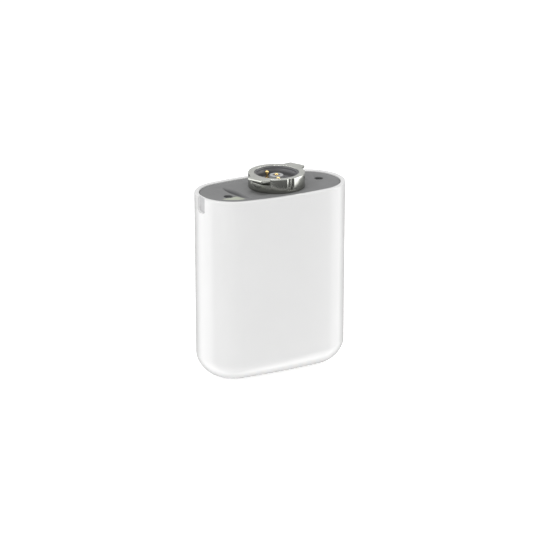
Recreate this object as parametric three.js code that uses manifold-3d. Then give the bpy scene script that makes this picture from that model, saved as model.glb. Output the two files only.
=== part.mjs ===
// Rechargeable battery pack with a twist-lock contact head on its top.
// Units are millimetres and +Z is up. The origin is the middle of the base.
// +X runs along the pack's length, and -Y is its front.

import * as THREE from 'three';
import Module from 'manifold-3d';
import { mergeVertices } from 'three/addons/utils/BufferGeometryUtils.js';

const wasm = await Module();
wasm.setup();

// Housing: a deep one-piece cup whose plan is four tangent arcs.
const halfLength = 40;
const halfDepth = 20.75;
const endRadius = 19.4;
const rimHeight = 96.3;
const wall = 2.4;
const floorThickness = 2.5;
const fillet = { height: 11.6, insetX: 11.1, insetY: 12.5, power: 1.75 };
const cavityFillet = { height: 9.1, insetX: 9.3, insetY: 10.4, power: 1.75 };
const filletSteps = 5;
const arcSteps = 10;

// Key groove down the left end, with a thicker wall behind it.
const keyGroove = { y: -1.6, halfWidth: 3.3, depth: 1.6, height: 8, corner: 1.3 };
const keyPad = { halfWidth: 4.8, reach: 3.2, bottom: 85.5 };

// Screw pillars that rise from the floor to the top plate.
const pillars = { left: { x: -25.9, y: -4.8 }, right: { x: 28.4, y: 1.7 } };
const pillarRadius = 2.3;
const pillarBore = 1.35;
const pillarBoreDepth = 12;
const rib = { thickness: 1.6, bottom: 20, top: 86.5 };

// Top plate, set a little below the rim.
const fitGap = 0.3;
const plateTop = rimHeight - 0.6;
const plateBottom = 92.5;
const sealGroove = { depth: 1, bottom: 93.3, top: 94.9 };
const counterbore = { radius: 2.3, depth: 2.2 };
const screw = {
  headRadius: 2,
  headHeight: 1.15,
  crown: 0.4,
  shankRadius: 1.2,
  length: 10,
  tip: 0.8,
  driveRadius: 0.75,
  driveDepth: 0.7,
};
const touchGap = 0.05;

// Crescent scoop beside the head: steep at its outer edge, with a floor that slopes up inwards.
const scoop = { from: 160, to: 216, outerFrom: 27.4, outerTo: 24.8, width: 5.6, depth: 2.4, skew: 0.7 };
const scoopSteps = 12;

// Blank label between the scoop and the plate's edge, bounded by two arcs and a straight side.
const label = {
  headArc: 26.4,
  headFrom: 208,
  headTo: 194.8,
  endArc: 12.6,
  endFrom: 217,
  endTo: 270,
  screwClear: 2.8,
  recessGap: 0.15,
  recessDepth: 0.25,
};
const labelThickness = 0.15;

// Contact head: a metal bayonet ring with two lugs, clamped through the plate by a ring nut.
const headX = 3.46;
const headTop = 103;
const ring = { outer: 14.2, face: 11.2, faceDepth: 0.8, bore: 10.4, spigot: 12.3 };
const ringFoot = plateTop + touchGap;
const spigotEnd = 91.6;
const ringEdge = 0.25;
const oRing = { radius: 12.95, section: 0.45, grooveOuter: 13.5, grooveHeight: 0.95 };
const lug = {
  reach: 17.6,
  halfLength: 4.3,
  rootReach: 12.9,
  rootHalf: 5.9,
  innerReach: 11.6,
  thickness: 1.15,
};
const lugTurns = [205, 25];
const undercut = { radius: 13, height: 1.9, halfAngle: 24.5 };
const keyway = { angle: 272.75, floorHalf: 1.1, shoulderHalf: 2.3, shoulderDrop: 0.4, depth: 1, bottom: 97.1 };
const headSegments = 48;
const nut = { outer: 16, bore: 12.5, lip: 10.6, top: 92.4, bottom: 89.2, lipHeight: 1 };
const nutNotches = { count: 6, width: 3, depth: 1.4 };

// Insulating cup inside the ring, with three spring contacts in its floor.
const cup = { outer: 10.15, inner: 9.4, floorTop: 98, floorBottom: 95.6 };
const cupLip = { outer: 11.1, bottom: 102.25, top: 102.85, inner: 10.8, throat: 100.6 };
const cupSkirt = { inner: 9, bottom: 90.4, flange: 11.4, flangeTop: 91.4 };
const collar = { outer: 3.5, bore: 1.8, top: 101.6, chamfer: 0.3, lead: 0.2 };
const contactBoard = { radius: 8.8, bottom: 90.6, top: 91.6 };
const contactCircle = 6.5;
const contacts = [
  { name: 'centre', x: headX, y: 0 },
  { name: 'back', ...onHeadCircle(110) },
  { name: 'front', ...onHeadCircle(-110) },
];
const barrel = { outer: 1.2, bore: 0.92, bottom: 91.8, boreBottom: 92.4, top: 98.8 };
const barrelFit = 0.15;
const barrelFlange = { radius: 1.7, bottom: 94.6, top: 95.4 };
const plunger = {
  shaft: 0.62,
  tail: 0.8,
  tailBottom: 95.4,
  tailTop: 96,
  head: 0.95,
  headTaper: 0.5,
  top: 102.4,
};
const spring = { radius: 0.6, wire: 0.12, bottom: 92.55, top: 95.25, turns: 4 };
const springStepsPerTurn = 7;

// Cells: three behind and two in front, standing between two holders.
const cell = { radius: 9.15, bottom: 10.5, top: 75.5, pitch: 18.6, rowY: 7.95, shiftX: -0.5 };
const cellCap = { radius: 4, height: 0.9 };
const cellEdge = 0.6;
const cellSpots = [
  { x: cell.shiftX - cell.pitch, y: cell.rowY },
  { x: cell.shiftX - cell.pitch / 2, y: -cell.rowY },
  { x: cell.shiftX, y: cell.rowY },
  { x: cell.shiftX + cell.pitch / 2, y: -cell.rowY },
  { x: cell.shiftX + cell.pitch, y: cell.rowY },
];
const holder = {
  thickness: 1.6,
  window: 6,
  postRadius: 1.1,
  postLength: 6,
  postRoot: 0.5,
  gap: 1.3,
};
const lowerHolderBottom = 8.4;
const upperHolderBottom = 76;
const foam = { halfLength: 22.8, halfDepth: 7, endRadius: 6.4, bottom: 2.7, top: 8.2 };
const strip = { width: 7, corner: 1.5, thickness: 0.2, lift: 0.1 };

// Control board above the upper holder.
const board = { x: 1.2, length: 47, depth: 26, corner: 2, bottom: 80, top: 81.4 };
const standoffs = [{ x: -19, y: -9.5 }, { x: 8.8, y: 12 }];
const standoffRadius = 2;
const standoffBore = 0.9;
const boardScrew = {
  headRadius: 1.5,
  headHeight: 1,
  crown: 0.3,
  shankRadius: 0.75,
  length: 3.6,
  tip: 0.4,
};
const componentSeat = board.top + touchGap;
const chip = {
  x: -11,
  y: -6,
  length: 10,
  width: 5.4,
  height: 1.6,
  lift: 0.3,
  legCount: 6,
  legHalfWidth: 0.25,
  legReach: 0.9,
  legThickness: 0.3,
};
const transistor = { halfWidth: 3.2, halfDepth: 3, height: 2.3, tabHalf: 2.7, tabReach: 4.6 };
const transistorLeg = { pitch: 2.3, halfWidth: 0.4, reach: 5, thickness: 0.5 };
const transistorSpots = [{ x: 10, y: 5 }, { x: 18.5, y: 5 }];
const fuse = { x: -3, y: 8, halfLength: 2.2, halfWidth: 1.3, height: 2, lift: 0.15 };
const fuseCap = { x: 2.6, halfLength: 0.7, halfWidth: 1.5, height: 2.2 };
const shunt = { x: 8, y: -7, halfLength: 3, halfWidth: 1.4, bottom: 0.6, top: 1.1 };
const shuntFoot = { x: 2.6, halfLength: 0.8, halfWidth: 1.6, height: 0.9 };
const capacitor = { x: -12, y: 7, radius: 2.5, height: 4.6, edge: 0.3 };
const thermistor = { radius: 0.9, neck: 0.7, bottom: 58, top: 62.4, cap: 0.6 };
const leadRadius = 0.65;
const leadRise = 3.5;
const returnLead = { x: 21.5, y: -4.5 };
const headLeads = [
  { name: 'power', foot: { x: 2, y: 10 }, top: { x: 3, y: 5 }, finish: 'leadRed' },
  { name: 'return', foot: { x: 3, y: -10 }, top: { x: 3, y: -5 }, finish: 'leadBlack' },
  { name: 'signal', foot: { x: -3, y: 1 }, top: { x: -1.5, y: 0 }, finish: 'leadYellow' },
];

const finishes = {
  shellWhite: { color: 0xf2f2f0, roughness: 0.25, metalness: 0 },
  plateGrey: { color: 0x8f8f8f, roughness: 0.7, metalness: 0 },
  nickel: { color: 0xbfc2b8, roughness: 0.3, metalness: 1 },
  steel: { color: 0xb0b2b4, roughness: 0.35, metalness: 1 },
  gold: { color: 0xd9a441, roughness: 0.25, metalness: 1 },
  insulator: { color: 0x4a4a4a, roughness: 0.6, metalness: 0 },
  collarGrey: { color: 0xa9aaac, roughness: 0.5, metalness: 0 },
  rubber: { color: 0x202020, roughness: 0.9, metalness: 0 },
  labelPale: { color: 0xc4c8bc, roughness: 0.6, metalness: 0 },
  wrap: { color: 0x3f7f6f, roughness: 0.4, metalness: 0 },
  holderBlack: { color: 0x2a2a2c, roughness: 0.6, metalness: 0 },
  boardGreen: { color: 0x1f5f3a, roughness: 0.5, metalness: 0 },
  chipBlack: { color: 0x1a1a1a, roughness: 0.5, metalness: 0 },
  ceramic: { color: 0xd8d4c8, roughness: 0.6, metalness: 0 },
  foamGrey: { color: 0x6b6b6b, roughness: 1, metalness: 0 },
  leadRed: { color: 0xb02020, roughness: 0.5, metalness: 0 },
  leadBlack: { color: 0x181818, roughness: 0.5, metalness: 0 },
  leadYellow: { color: 0xd0b030, roughness: 0.5, metalness: 0 },
};

const pack = new THREE.Group();

function onHeadCircle(degrees) {
  const angle = THREE.MathUtils.degToRad(degrees);
  return { x: headX + contactCircle * Math.cos(angle), y: contactCircle * Math.sin(angle) };
}

function addNode(name, geometry, finish) {
  const mesh = new THREE.Mesh(geometry, new THREE.MeshStandardMaterial(finishes[finish]));
  mesh.name = name;
  pack.add(mesh);
}

// ---- Solids ----

function toSolid(geometry) {
  const bare = geometry.clone();
  bare.deleteAttribute('normal');
  bare.deleteAttribute('uv');
  const merged = mergeVertices(bare, 1e-4);
  const corners = merged.index.array;
  const kept = [];
  for (let i = 0; i < corners.length; i += 3) {
    const [a, b, c] = [corners[i], corners[i + 1], corners[i + 2]];
    if (a !== b && b !== c && c !== a) kept.push(a, b, c);
  }
  const vertProperties = new Float32Array(merged.attributes.position.array);
  return new wasm.Manifold(
    new wasm.Mesh({ numProp: 3, vertProperties, triVerts: new Uint32Array(kept) }),
  );
}

function toGeometry(solid) {
  const { vertProperties, triVerts } = solid.getMesh();
  const geometry = new THREE.BufferGeometry();
  geometry.setAttribute('position', new THREE.BufferAttribute(vertProperties, 3));
  geometry.setIndex(new THREE.BufferAttribute(triVerts, 1));
  geometry.computeVertexNormals();
  return geometry;
}

function cut(base, ...tools) {
  return toGeometry(tools.reduce((left, tool) => left.subtract(toSolid(tool)), toSolid(base)));
}

function join(base, ...others) {
  return toGeometry(others.reduce((sum, other) => sum.add(toSolid(other)), toSolid(base)));
}

function drum(radius, bottom, top, { x = 0, y = 0 } = {}, segments = 20) {
  return new THREE.CylinderGeometry(radius, radius, top - bottom, segments)
    .rotateX(Math.PI / 2)
    .translate(x, y, (bottom + top) / 2);
}

function slab(x, y, z) {
  return new THREE.BoxGeometry(x[1] - x[0], y[1] - y[0], z[1] - z[0]).translate(
    (x[0] + x[1]) / 2,
    (y[0] + y[1]) / 2,
    (z[0] + z[1]) / 2,
  );
}

// A body of revolution about a vertical axis, from [radius, height] pairs.
function turned(profile, { x = 0, y = 0 } = {}, segments = 24) {
  const points = profile.map(([radius, height]) => new THREE.Vector2(radius, height));
  return new THREE.LatheGeometry(points, segments).rotateX(Math.PI / 2).translate(x, y, 0);
}

function roundedRectangle(length, width, corner) {
  const [a, b] = [length / 2 - corner, width / 2 - corner];
  const shape = new THREE.Shape();
  shape.absarc(a, b, corner, 0, Math.PI / 2);
  shape.absarc(-a, b, corner, Math.PI / 2, Math.PI);
  shape.absarc(-a, -b, corner, Math.PI, 1.5 * Math.PI);
  shape.absarc(a, -b, corner, 1.5 * Math.PI, 2 * Math.PI);
  return shape;
}

function extruded(shape, height, curveSegments = 3) {
  return new THREE.ExtrudeGeometry(shape, { depth: height, bevelEnabled: false, curveSegments });
}

// Four tangent arcs: a tight one round each end and a shallow one along each side.
function planPoints(a, b, r) {
  const side = ((a - r) ** 2 + b ** 2 - r ** 2) / (2 * (b - r));
  const lean = Math.atan2(side - b, a - r);
  const arcs = [
    { x: a - r, y: 0, radius: r, from: -lean, to: lean },
    { x: 0, y: b - side, radius: side, from: lean, to: Math.PI - lean },
    { x: r - a, y: 0, radius: r, from: Math.PI - lean, to: Math.PI + lean },
    { x: 0, y: side - b, radius: side, from: Math.PI + lean, to: 2 * Math.PI - lean },
  ];
  return arcs.flatMap(({ x, y, radius, from, to }) =>
    Array.from({ length: arcSteps }, (_, i) => {
      const angle = from + ((to - from) * i) / arcSteps;
      return [x + radius * Math.cos(angle), y + radius * Math.sin(angle)];
    }),
  );
}

// The housing's plan, moved in by the same distance all round.
function planInset(inset) {
  return planPoints(halfLength - inset, halfDepth - inset, endRadius - inset);
}

function middleOf(points) {
  return [0, 1, 2].map((axis) => points.reduce((sum, p) => sum + p[axis], 0) / points.length);
}

// Skins a row of closed rings of [x, y, z] points, all of one length, and closes both ends.
function skinned(rings) {
  const count = rings[0].length;
  const positions = rings.flat(2);
  const index = [];
  for (let s = 0; s < rings.length - 1; s += 1) {
    for (let i = 0; i < count; i += 1) {
      const [a, b] = [s * count + i, s * count + ((i + 1) % count)];
      index.push(a, b, b + count, a, b + count, a + count);
    }
  }
  const last = (rings.length - 1) * count;
  const firstMiddle = positions.length / 3;
  positions.push(...middleOf(rings[0]), ...middleOf(rings.at(-1)));
  for (let i = 0; i < count; i += 1) {
    const next = (i + 1) % count;
    index.push(firstMiddle, next, i, firstMiddle + 1, last + i, last + next);
  }
  const geometry = new THREE.BufferGeometry();
  geometry.setAttribute('position', new THREE.Float32BufferAttribute(positions, 3));
  geometry.setIndex(index);
  geometry.computeVertexNormals();
  return geometry;
}

// Skins a stack of level outlines.
function lofted(sections) {
  return skinned(sections.map(({ z, points }) => points.map(([x, y]) => [x, y, z])));
}

function prism(points, bottom, top) {
  return lofted([{ z: bottom, points }, { z: top, points }]);
}

// A cup-shaped plug with a rounded foot: sections shrink towards the bottom.
function roundedFoot(inset, bottom, top, { height, insetX, insetY, power }) {
  const [a, b, r] = [halfLength - inset, halfDepth - inset, endRadius - inset];
  const sections = [];
  for (let i = filletSteps; i >= 0; i -= 1) {
    const angle = (i / filletSteps) * (Math.PI / 2);
    const narrowing = 1 - Math.cos(angle) ** (2 / power);
    const depth = b - insetY * narrowing;
    const points = planPoints(a - insetX * narrowing, depth, (r * depth) / b);
    sections.push({ z: bottom + height * (1 - Math.sin(angle) ** (2 / power)), points });
  }
  sections.push({ z: top, points: planPoints(a, b, r) });
  return lofted(sections);
}

function tube(points, radius, steps, sides = 6) {
  const curve = new THREE.CatmullRomCurve3(points.map((p) => new THREE.Vector3(...p)));
  const section = new THREE.Shape();
  section.absarc(0, 0, radius, 0, 2 * Math.PI);
  return new THREE.ExtrudeGeometry(section, {
    steps,
    extrudePath: curve,
    bevelEnabled: false,
    curveSegments: sides / 2,
  });
}

// ---- Housing and top plate ----

function pillarRib({ x, y }) {
  const outward = Math.sign(x) * (halfLength - wall / 2);
  const span = [Math.min(x, outward), Math.max(x, outward)];
  return slab(span, [y - rib.thickness / 2, y + rib.thickness / 2], [rib.bottom, rib.top]);
}

function grooveTool() {
  const outline = roundedRectangle(
    keyGroove.height * 2,
    keyGroove.halfWidth * 2,
    keyGroove.corner,
  );
  return extruded(outline, keyGroove.depth + 1)
    .rotateY(Math.PI / 2)
    .translate(-halfLength - 1, keyGroove.y, rimHeight);
}

function housing() {
  const outer = roundedFoot(0, 0, rimHeight, fillet);
  const cavity = roundedFoot(wall, floorThickness, rimHeight + 1, cavityFillet);
  const pad = slab(
    [wall / 2 - halfLength, keyPad.reach - halfLength],
    [keyGroove.y - keyPad.halfWidth, keyGroove.y + keyPad.halfWidth],
    [keyPad.bottom, plateBottom - fitGap],
  );
  const posts = Object.values(pillars).flatMap((spot) => [
    drum(pillarRadius, floorThickness - 1, plateBottom - fitGap, spot),
    pillarRib(spot),
  ]);
  const bores = Object.values(pillars).map((spot) =>
    drum(pillarBore, plateBottom - pillarBoreDepth, plateBottom, spot, 14),
  );
  return cut(join(cut(outer, cavity), pad, ...posts), grooveTool(), ...bores);
}

function scoopTool() {
  const rings = Array.from({ length: scoopSteps + 1 }, (_, i) => {
    const share = i / scoopSteps;
    const angle = THREE.MathUtils.degToRad(THREE.MathUtils.lerp(scoop.from, scoop.to, share));
    const fullness = 0.02 + 0.98 * Math.sin(Math.PI * share ** scoop.skew);
    const outer = THREE.MathUtils.lerp(scoop.outerFrom, scoop.outerTo, share);
    const inner = outer - scoop.width * fullness;
    const section = [
      [inner, plateTop + 1],
      [outer, plateTop + 1],
      [outer, plateTop - scoop.depth * fullness],
      [inner, plateTop],
    ];
    return section.map(([radius, height]) => [
      headX + radius * Math.cos(angle),
      radius * Math.sin(angle),
      height,
    ]);
  });
  return skinned(rings);
}

function labelSheet(grow, bottom, height) {
  const { headArc, headFrom, headTo, endArc, endFrom, endTo } = label;
  const [a, b, c, d] = [endFrom, endTo, headFrom, headTo].map(THREE.MathUtils.degToRad);
  const growTurn = grow / endArc;
  const shape = new THREE.Shape();
  shape.absarc(endRadius - halfLength, 0, endArc + grow, a - growTurn, b + growTurn);
  shape.absarc(headX, 0, headArc - grow, c, d - growTurn, true);
  const sheet = extruded(shape, height, 8).translate(0, 0, bottom);
  const { left } = pillars;
  return cut(sheet, drum(label.screwClear - grow, bottom - 1, bottom + height + 1, left));
}

function topPlate() {
  const body = prism(planInset(wall + fitGap), plateBottom, plateTop);
  const grooveRing = cut(
    prism(planInset(wall), sealGroove.bottom, sealGroove.top),
    prism(planInset(wall + fitGap + sealGroove.depth), sealGroove.bottom - 1, sealGroove.top + 1),
  );
  const opening = drum(nut.bore, plateBottom - 1, plateTop + 1, { x: headX }, headSegments);
  const screwHoles = Object.values(pillars).flatMap((spot) => [
    drum(counterbore.radius, plateTop - counterbore.depth, plateTop + 1, spot),
    drum(pillarBore, plateBottom - 1, plateTop, spot, 14),
  ]);
  const recess = labelSheet(label.recessGap, plateTop - label.recessDepth, 1);
  return cut(body, grooveRing, opening, ...screwHoles, scoopTool(), recess);
}

function plateSeal() {
  const [bottom, top] = [sealGroove.bottom + touchGap, sealGroove.top - touchGap];
  const outline = prism(planInset(wall + touchGap), bottom, top);
  const hollowInset = wall + fitGap + sealGroove.depth - touchGap;
  return cut(outline, prism(planInset(hollowInset), bottom - 1, top + 1));
}

// A pan-headed screw standing with the underside of its head at the seat height.
function screwBlank(size, seat, spot, segments) {
  const { headRadius, headHeight, crown, shankRadius, length, tip } = size;
  const head = seat + headHeight;
  const profile = [
    [0, seat - length],
    [shankRadius, seat - length + tip],
    [shankRadius, seat],
    [headRadius, seat],
    [headRadius, head - crown],
    [headRadius - crown, head],
    [0, head],
  ];
  return turned(profile, spot, segments);
}

function plateScrew(spot) {
  const seat = plateTop - counterbore.depth + touchGap;
  const drive = drum(
    screw.driveRadius,
    seat + screw.headHeight - screw.driveDepth,
    seat + screw.headHeight + 1,
    spot,
    6,
  );
  return cut(screwBlank(screw, seat, spot, 16), drive);
}

// ---- Contact head ----

function lugPlate(turn) {
  const { reach, halfLength: half, rootReach, rootHalf, thickness } = lug;
  const shape = new THREE.Shape();
  shape.moveTo(reach, -half);
  shape.lineTo(reach, half);
  shape.lineTo(rootReach, rootHalf);
  shape.lineTo(lug.innerReach, rootHalf);
  shape.lineTo(lug.innerReach, -rootHalf);
  shape.lineTo(rootReach, -rootHalf);
  return extruded(shape, thickness)
    .rotateZ(THREE.MathUtils.degToRad(turn))
    .translate(headX, 0, headTop - thickness);
}

function undercutTool(turn) {
  const half = THREE.MathUtils.degToRad(undercut.halfAngle);
  const shape = new THREE.Shape();
  shape.absarc(0, 0, ring.outer + 1, -half, half);
  shape.absarc(0, 0, undercut.radius, half, -half, true);
  return extruded(shape, undercut.height, 8)
    .rotateZ(THREE.MathUtils.degToRad(turn))
    .translate(headX, 0, headTop - lug.thickness - undercut.height);
}

// A channel in the ring's front, with wide shallow shoulders.
function keywayTool() {
  const { angle, floorHalf, shoulderHalf, shoulderDrop, depth, bottom } = keyway;
  const slope = shoulderDrop / (shoulderHalf - floorHalf);
  const overrun = 0.9;
  const half = [
    [ring.outer + overrun * slope, shoulderHalf + overrun],
    [ring.outer - shoulderDrop, floorHalf + 0.1],
    [ring.outer - depth, floorHalf],
  ];
  const mirrored = half.map(([x, y]) => [x, -y]).reverse();
  const turn = THREE.MathUtils.degToRad(angle);
  const [c, s] = [Math.cos(turn), Math.sin(turn)];
  const outline = [...half, ...mirrored].map(([x, y]) => [headX + x * c - y * s, x * s + y * c]);
  return prism(outline, bottom, headTop + 1);
}

function bayonetRing() {
  const { outer, face, faceDepth, bore, spigot } = ring;
  const grooveTop = ringFoot + oRing.grooveHeight;
  const profile = [
    [bore, spigotEnd],
    [spigot, spigotEnd],
    [spigot, grooveTop],
    [oRing.grooveOuter, grooveTop],
    [oRing.grooveOuter, ringFoot],
    [outer, ringFoot],
    [outer, headTop - ringEdge],
    [outer - ringEdge, headTop],
    [face, headTop],
    [face, headTop - faceDepth],
    [bore, headTop - faceDepth],
    [bore, spigotEnd],
  ];
  const body = turned(profile, { x: headX }, headSegments);
  const tools = lugTurns.map(undercutTool);
  return join(cut(body, keywayTool(), ...tools), ...lugTurns.map(lugPlate));
}

function ringSeal() {
  const { radius, section } = oRing;
  const middle = plateTop + touchGap + section;
  const sides = 6;
  const profile = Array.from({ length: sides + 1 }, (_, i) => {
    const angle = (i / sides) * 2 * Math.PI;
    return [radius + section * Math.cos(angle), middle + section * Math.sin(angle)];
  });
  return turned(profile, { x: headX }, 32);
}

function ringNut() {
  const { outer, bore, lip, top, bottom, lipHeight } = nut;
  const profile = [
    [lip, bottom],
    [outer, bottom],
    [outer, top],
    [bore, top],
    [bore, bottom + lipHeight],
    [lip, bottom + lipHeight],
    [lip, bottom],
  ];
  const notches = Array.from({ length: nutNotches.count }, (_, i) =>
    slab(
      [outer - nutNotches.depth, outer + 1],
      [-nutNotches.width / 2, nutNotches.width / 2],
      [bottom - 1, top + 1],
    )
      .rotateZ((i / nutNotches.count) * 2 * Math.PI)
      .translate(headX, 0, 0),
  );
  return cut(turned(profile, { x: headX }, 36), ...notches);
}

function insulatorCup() {
  const profile = [
    [0, cup.floorBottom],
    [cupSkirt.inner, cup.floorBottom],
    [cupSkirt.inner, cupSkirt.bottom],
    [cupSkirt.flange, cupSkirt.bottom],
    [cupSkirt.flange, cupSkirt.flangeTop],
    [cup.outer, cupSkirt.flangeTop],
    [cup.outer, cupLip.bottom],
    [cupLip.outer, cupLip.bottom],
    [cupLip.outer, cupLip.top],
    [cupLip.inner, cupLip.top],
    [cup.inner, cupLip.throat],
    [cup.inner, cup.floorTop],
    [0, cup.floorTop],
  ];
  const holes = contacts.map((spot) =>
    drum(barrel.outer + barrelFit, cup.floorBottom - 1, cup.floorTop + 1, spot, 12),
  );
  return cut(turned(profile, { x: headX }, 36), ...holes);
}

function centreCollar() {
  const { outer, bore, top, chamfer, lead } = collar;
  const bottom = cup.floorTop + touchGap;
  const profile = [
    [bore, bottom],
    [outer, bottom],
    [outer, top - chamfer],
    [outer - chamfer, top],
    [bore + lead, top],
    [bore, top - lead],
    [bore, bottom],
  ];
  return turned(profile, { x: headX }, 20);
}

function contactBarrel(spot) {
  const { outer, bore, bottom, boreBottom, top } = barrel;
  const profile = [
    [0, bottom],
    [outer, bottom],
    [outer, barrelFlange.bottom],
    [barrelFlange.radius, barrelFlange.bottom],
    [barrelFlange.radius, barrelFlange.top],
    [outer, barrelFlange.top],
    [outer, top],
    [bore, top],
    [bore, boreBottom],
    [0, boreBottom],
  ];
  return turned(profile, spot, 12);
}

function contactPlunger(spot) {
  const { shaft, tail, tailBottom, tailTop, head, headTaper, top } = plunger;
  const domeSteps = 3;
  const dome = Array.from({ length: domeSteps }, (_, i) => {
    const angle = (i / domeSteps) * (Math.PI / 2);
    return [head * Math.cos(angle), top - head + head * Math.sin(angle)];
  });
  const profile = [
    [0, tailBottom],
    [tail, tailBottom],
    [tail, tailTop],
    [shaft, tailTop],
    [shaft, top - head - headTaper],
    ...dome,
    [0, top],
  ];
  return turned(profile, spot, 12);
}

function contactSpring({ x, y }) {
  const { radius, wire, bottom, top, turns } = spring;
  const count = turns * springStepsPerTurn;
  const points = Array.from({ length: count + 1 }, (_, i) => {
    const angle = (i / count) * turns * 2 * Math.PI;
    const height = bottom + wire + ((top - bottom - 2 * wire) * i) / count;
    return [x + radius * Math.cos(angle), y + radius * Math.sin(angle), height];
  });
  return tube(points, wire, count, 4);
}

function contactCircuit() {
  const { radius, bottom, top } = contactBoard;
  return drum(radius, bottom, top, { x: headX }, 28);
}

// ---- Cells and holders ----

function batteryCell({ x, y }, capUp) {
  const { radius, bottom, top } = cell;
  const height = top - bottom;
  const profile = [
    [0, 0],
    [radius - cellEdge, 0],
    [radius, cellEdge],
    [radius, height - cellCap.height - cellEdge],
    [radius - cellEdge, height - cellCap.height],
    [cellCap.radius, height - cellCap.height],
    [cellCap.radius, height],
    [0, height],
  ];
  const body = turned(profile, {}, 22);
  if (!capUp) body.rotateX(Math.PI).translate(0, 0, height);
  return body.translate(x, y, bottom);
}

function interstices() {
  const middleY = cell.rowY / 3;
  return [
    { x: cell.shiftX - cell.pitch / 2, y: middleY },
    { x: cell.shiftX, y: -middleY },
    { x: cell.shiftX + cell.pitch / 2, y: middleY },
  ];
}

// A plate with a window at each cell and posts that stand between the cells.
function cellHolder(bottom, postsUp) {
  const top = bottom + holder.thickness;
  const windows = cellSpots.map((spot) => drum(holder.window, bottom - 1, top + 1, spot, 14));
  const clearances = Object.values(pillars).map((spot) =>
    drum(pillarRadius + fitGap, bottom - 1, top + 1, spot, 14),
  );
  const ends = Object.values(pillars).map(({ x, y }) => {
    const outward = Math.sign(x) * halfLength;
    const span = [Math.min(x, outward), Math.max(x, outward)];
    const half = rib.thickness / 2 + fitGap;
    return slab(span, [y - half, y + half], [bottom - 1, top + 1]);
  });
  const { postRoot, postLength } = holder;
  const postSpan = postsUp
    ? [top - postRoot, top + postLength]
    : [bottom - postLength, bottom + postRoot];
  const posts = interstices().map((spot) => drum(holder.postRadius, ...postSpan, spot, 10));
  const leadHole = drum(leadRadius + fitGap, bottom - 1, top + 1, returnLead, 12);
  const plate = prism(planInset(wall + holder.gap), bottom, top);
  return join(cut(plate, ...windows, ...clearances, ...ends, leadHole), ...posts);
}

function upperHolder() {
  const top = upperHolderBottom + holder.thickness;
  const columns = standoffs.map((spot) =>
    drum(standoffRadius, top - holder.postRoot, board.bottom - touchGap, spot, 14),
  );
  const bores = standoffs.map((spot) => drum(standoffBore, top, board.bottom, spot, 12));
  return cut(join(cellHolder(upperHolderBottom, false), ...columns), ...bores);
}

function foamPad() {
  const { halfLength: a, halfDepth: b, endRadius: r, bottom, top } = foam;
  return prism(planPoints(a, b, r), bottom, top);
}

// A flat strip welded across two cell ends, or a short tab on one.
function linkStrip(from, to, bottom) {
  const [dx, dy] = [to.x - from.x, to.y - from.y];
  const length = Math.hypot(dx, dy) + strip.width;
  const outline = roundedRectangle(length, strip.width, strip.corner);
  return extruded(outline, strip.thickness)
    .rotateZ(Math.atan2(dy, dx))
    .translate((from.x + to.x) / 2, (from.y + to.y) / 2, bottom);
}

// ---- Control board ----

function controlBoard() {
  const outline = roundedRectangle(board.length, board.depth, board.corner);
  const plate = extruded(outline, board.top - board.bottom).translate(board.x, 0, board.bottom);
  const holes = standoffs.map((spot) =>
    drum(standoffBore, board.bottom - 1, board.top + 1, spot, 12),
  );
  return cut(plate, ...holes);
}

// A block on the control board: how far it reaches each way from its middle, and its heights.
function blockOnBoard({ x, y }, halfX, halfY, bottom, top) {
  return slab([x - halfX, x + halfX], [y - halfY, y + halfY], [
    componentSeat + bottom,
    componentSeat + top,
  ]);
}

// A moulded package with a row of gull-wing legs along each long side.
function controlChip() {
  const { x, y, length, width, height, lift, legThickness } = chip;
  const reach = width / 2 + chip.legReach;
  const wing = lift + legThickness;
  const feet = Array.from({ length: chip.legCount }, (_, i) => {
    const middle = x - length / 2 + (length * (i + 0.5)) / chip.legCount;
    const shoulders = blockOnBoard({ x: middle, y }, chip.legHalfWidth, reach, lift, wing);
    const tips = [-1, 1].map((side) => {
      const tip = { x: middle, y: y + side * (reach - legThickness / 2) };
      return blockOnBoard(tip, chip.legHalfWidth, legThickness / 2, 0, wing);
    });
    return join(shoulders, ...tips);
  });
  return join(blockOnBoard({ x, y }, length / 2, width / 2, lift, lift + height), ...feet);
}

// A power package: its heat tab reaches behind the body and three legs in front.
function powerTransistor({ x, y }) {
  const { halfWidth, halfDepth, height, tabHalf, tabReach } = transistor;
  const { pitch, halfWidth: legHalf, reach, thickness } = transistorLeg;
  const legs = [-pitch, 0, pitch].map((offset) =>
    blockOnBoard({ x: x + offset, y: y - reach / 2 }, legHalf, reach / 2, 0, thickness),
  );
  const body = blockOnBoard({ x, y }, halfWidth, halfDepth, 0, height);
  return join(body, blockOnBoard({ x, y: y + tabReach / 2 }, tabHalf, tabReach / 2, 0, thickness), ...legs);
}

function fuseBody() {
  const { x, y, halfLength: half, halfWidth, height, lift } = fuse;
  const caps = [-1, 1].map((side) =>
    blockOnBoard(
      { x: x + side * fuseCap.x, y },
      fuseCap.halfLength,
      fuseCap.halfWidth,
      0,
      fuseCap.height,
    ),
  );
  return join(blockOnBoard({ x, y }, half, halfWidth, lift, height), ...caps);
}

function currentShunt() {
  const { x, y, halfLength: half, halfWidth, bottom, top } = shunt;
  const feet = [-1, 1].map((side) =>
    blockOnBoard(
      { x: x + side * shuntFoot.x, y },
      shuntFoot.halfLength,
      shuntFoot.halfWidth,
      0,
      shuntFoot.height,
    ),
  );
  return join(blockOnBoard({ x, y }, half, halfWidth, bottom, top), ...feet);
}

function capacitorCan() {
  const { x, y, radius, height, edge } = capacitor;
  const top = componentSeat + height;
  const profile = [
    [0, componentSeat],
    [radius, componentSeat],
    [radius, top - edge],
    [radius - edge, top],
    [0, top],
  ];
  return turned(profile, { x, y }, 14);
}

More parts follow.
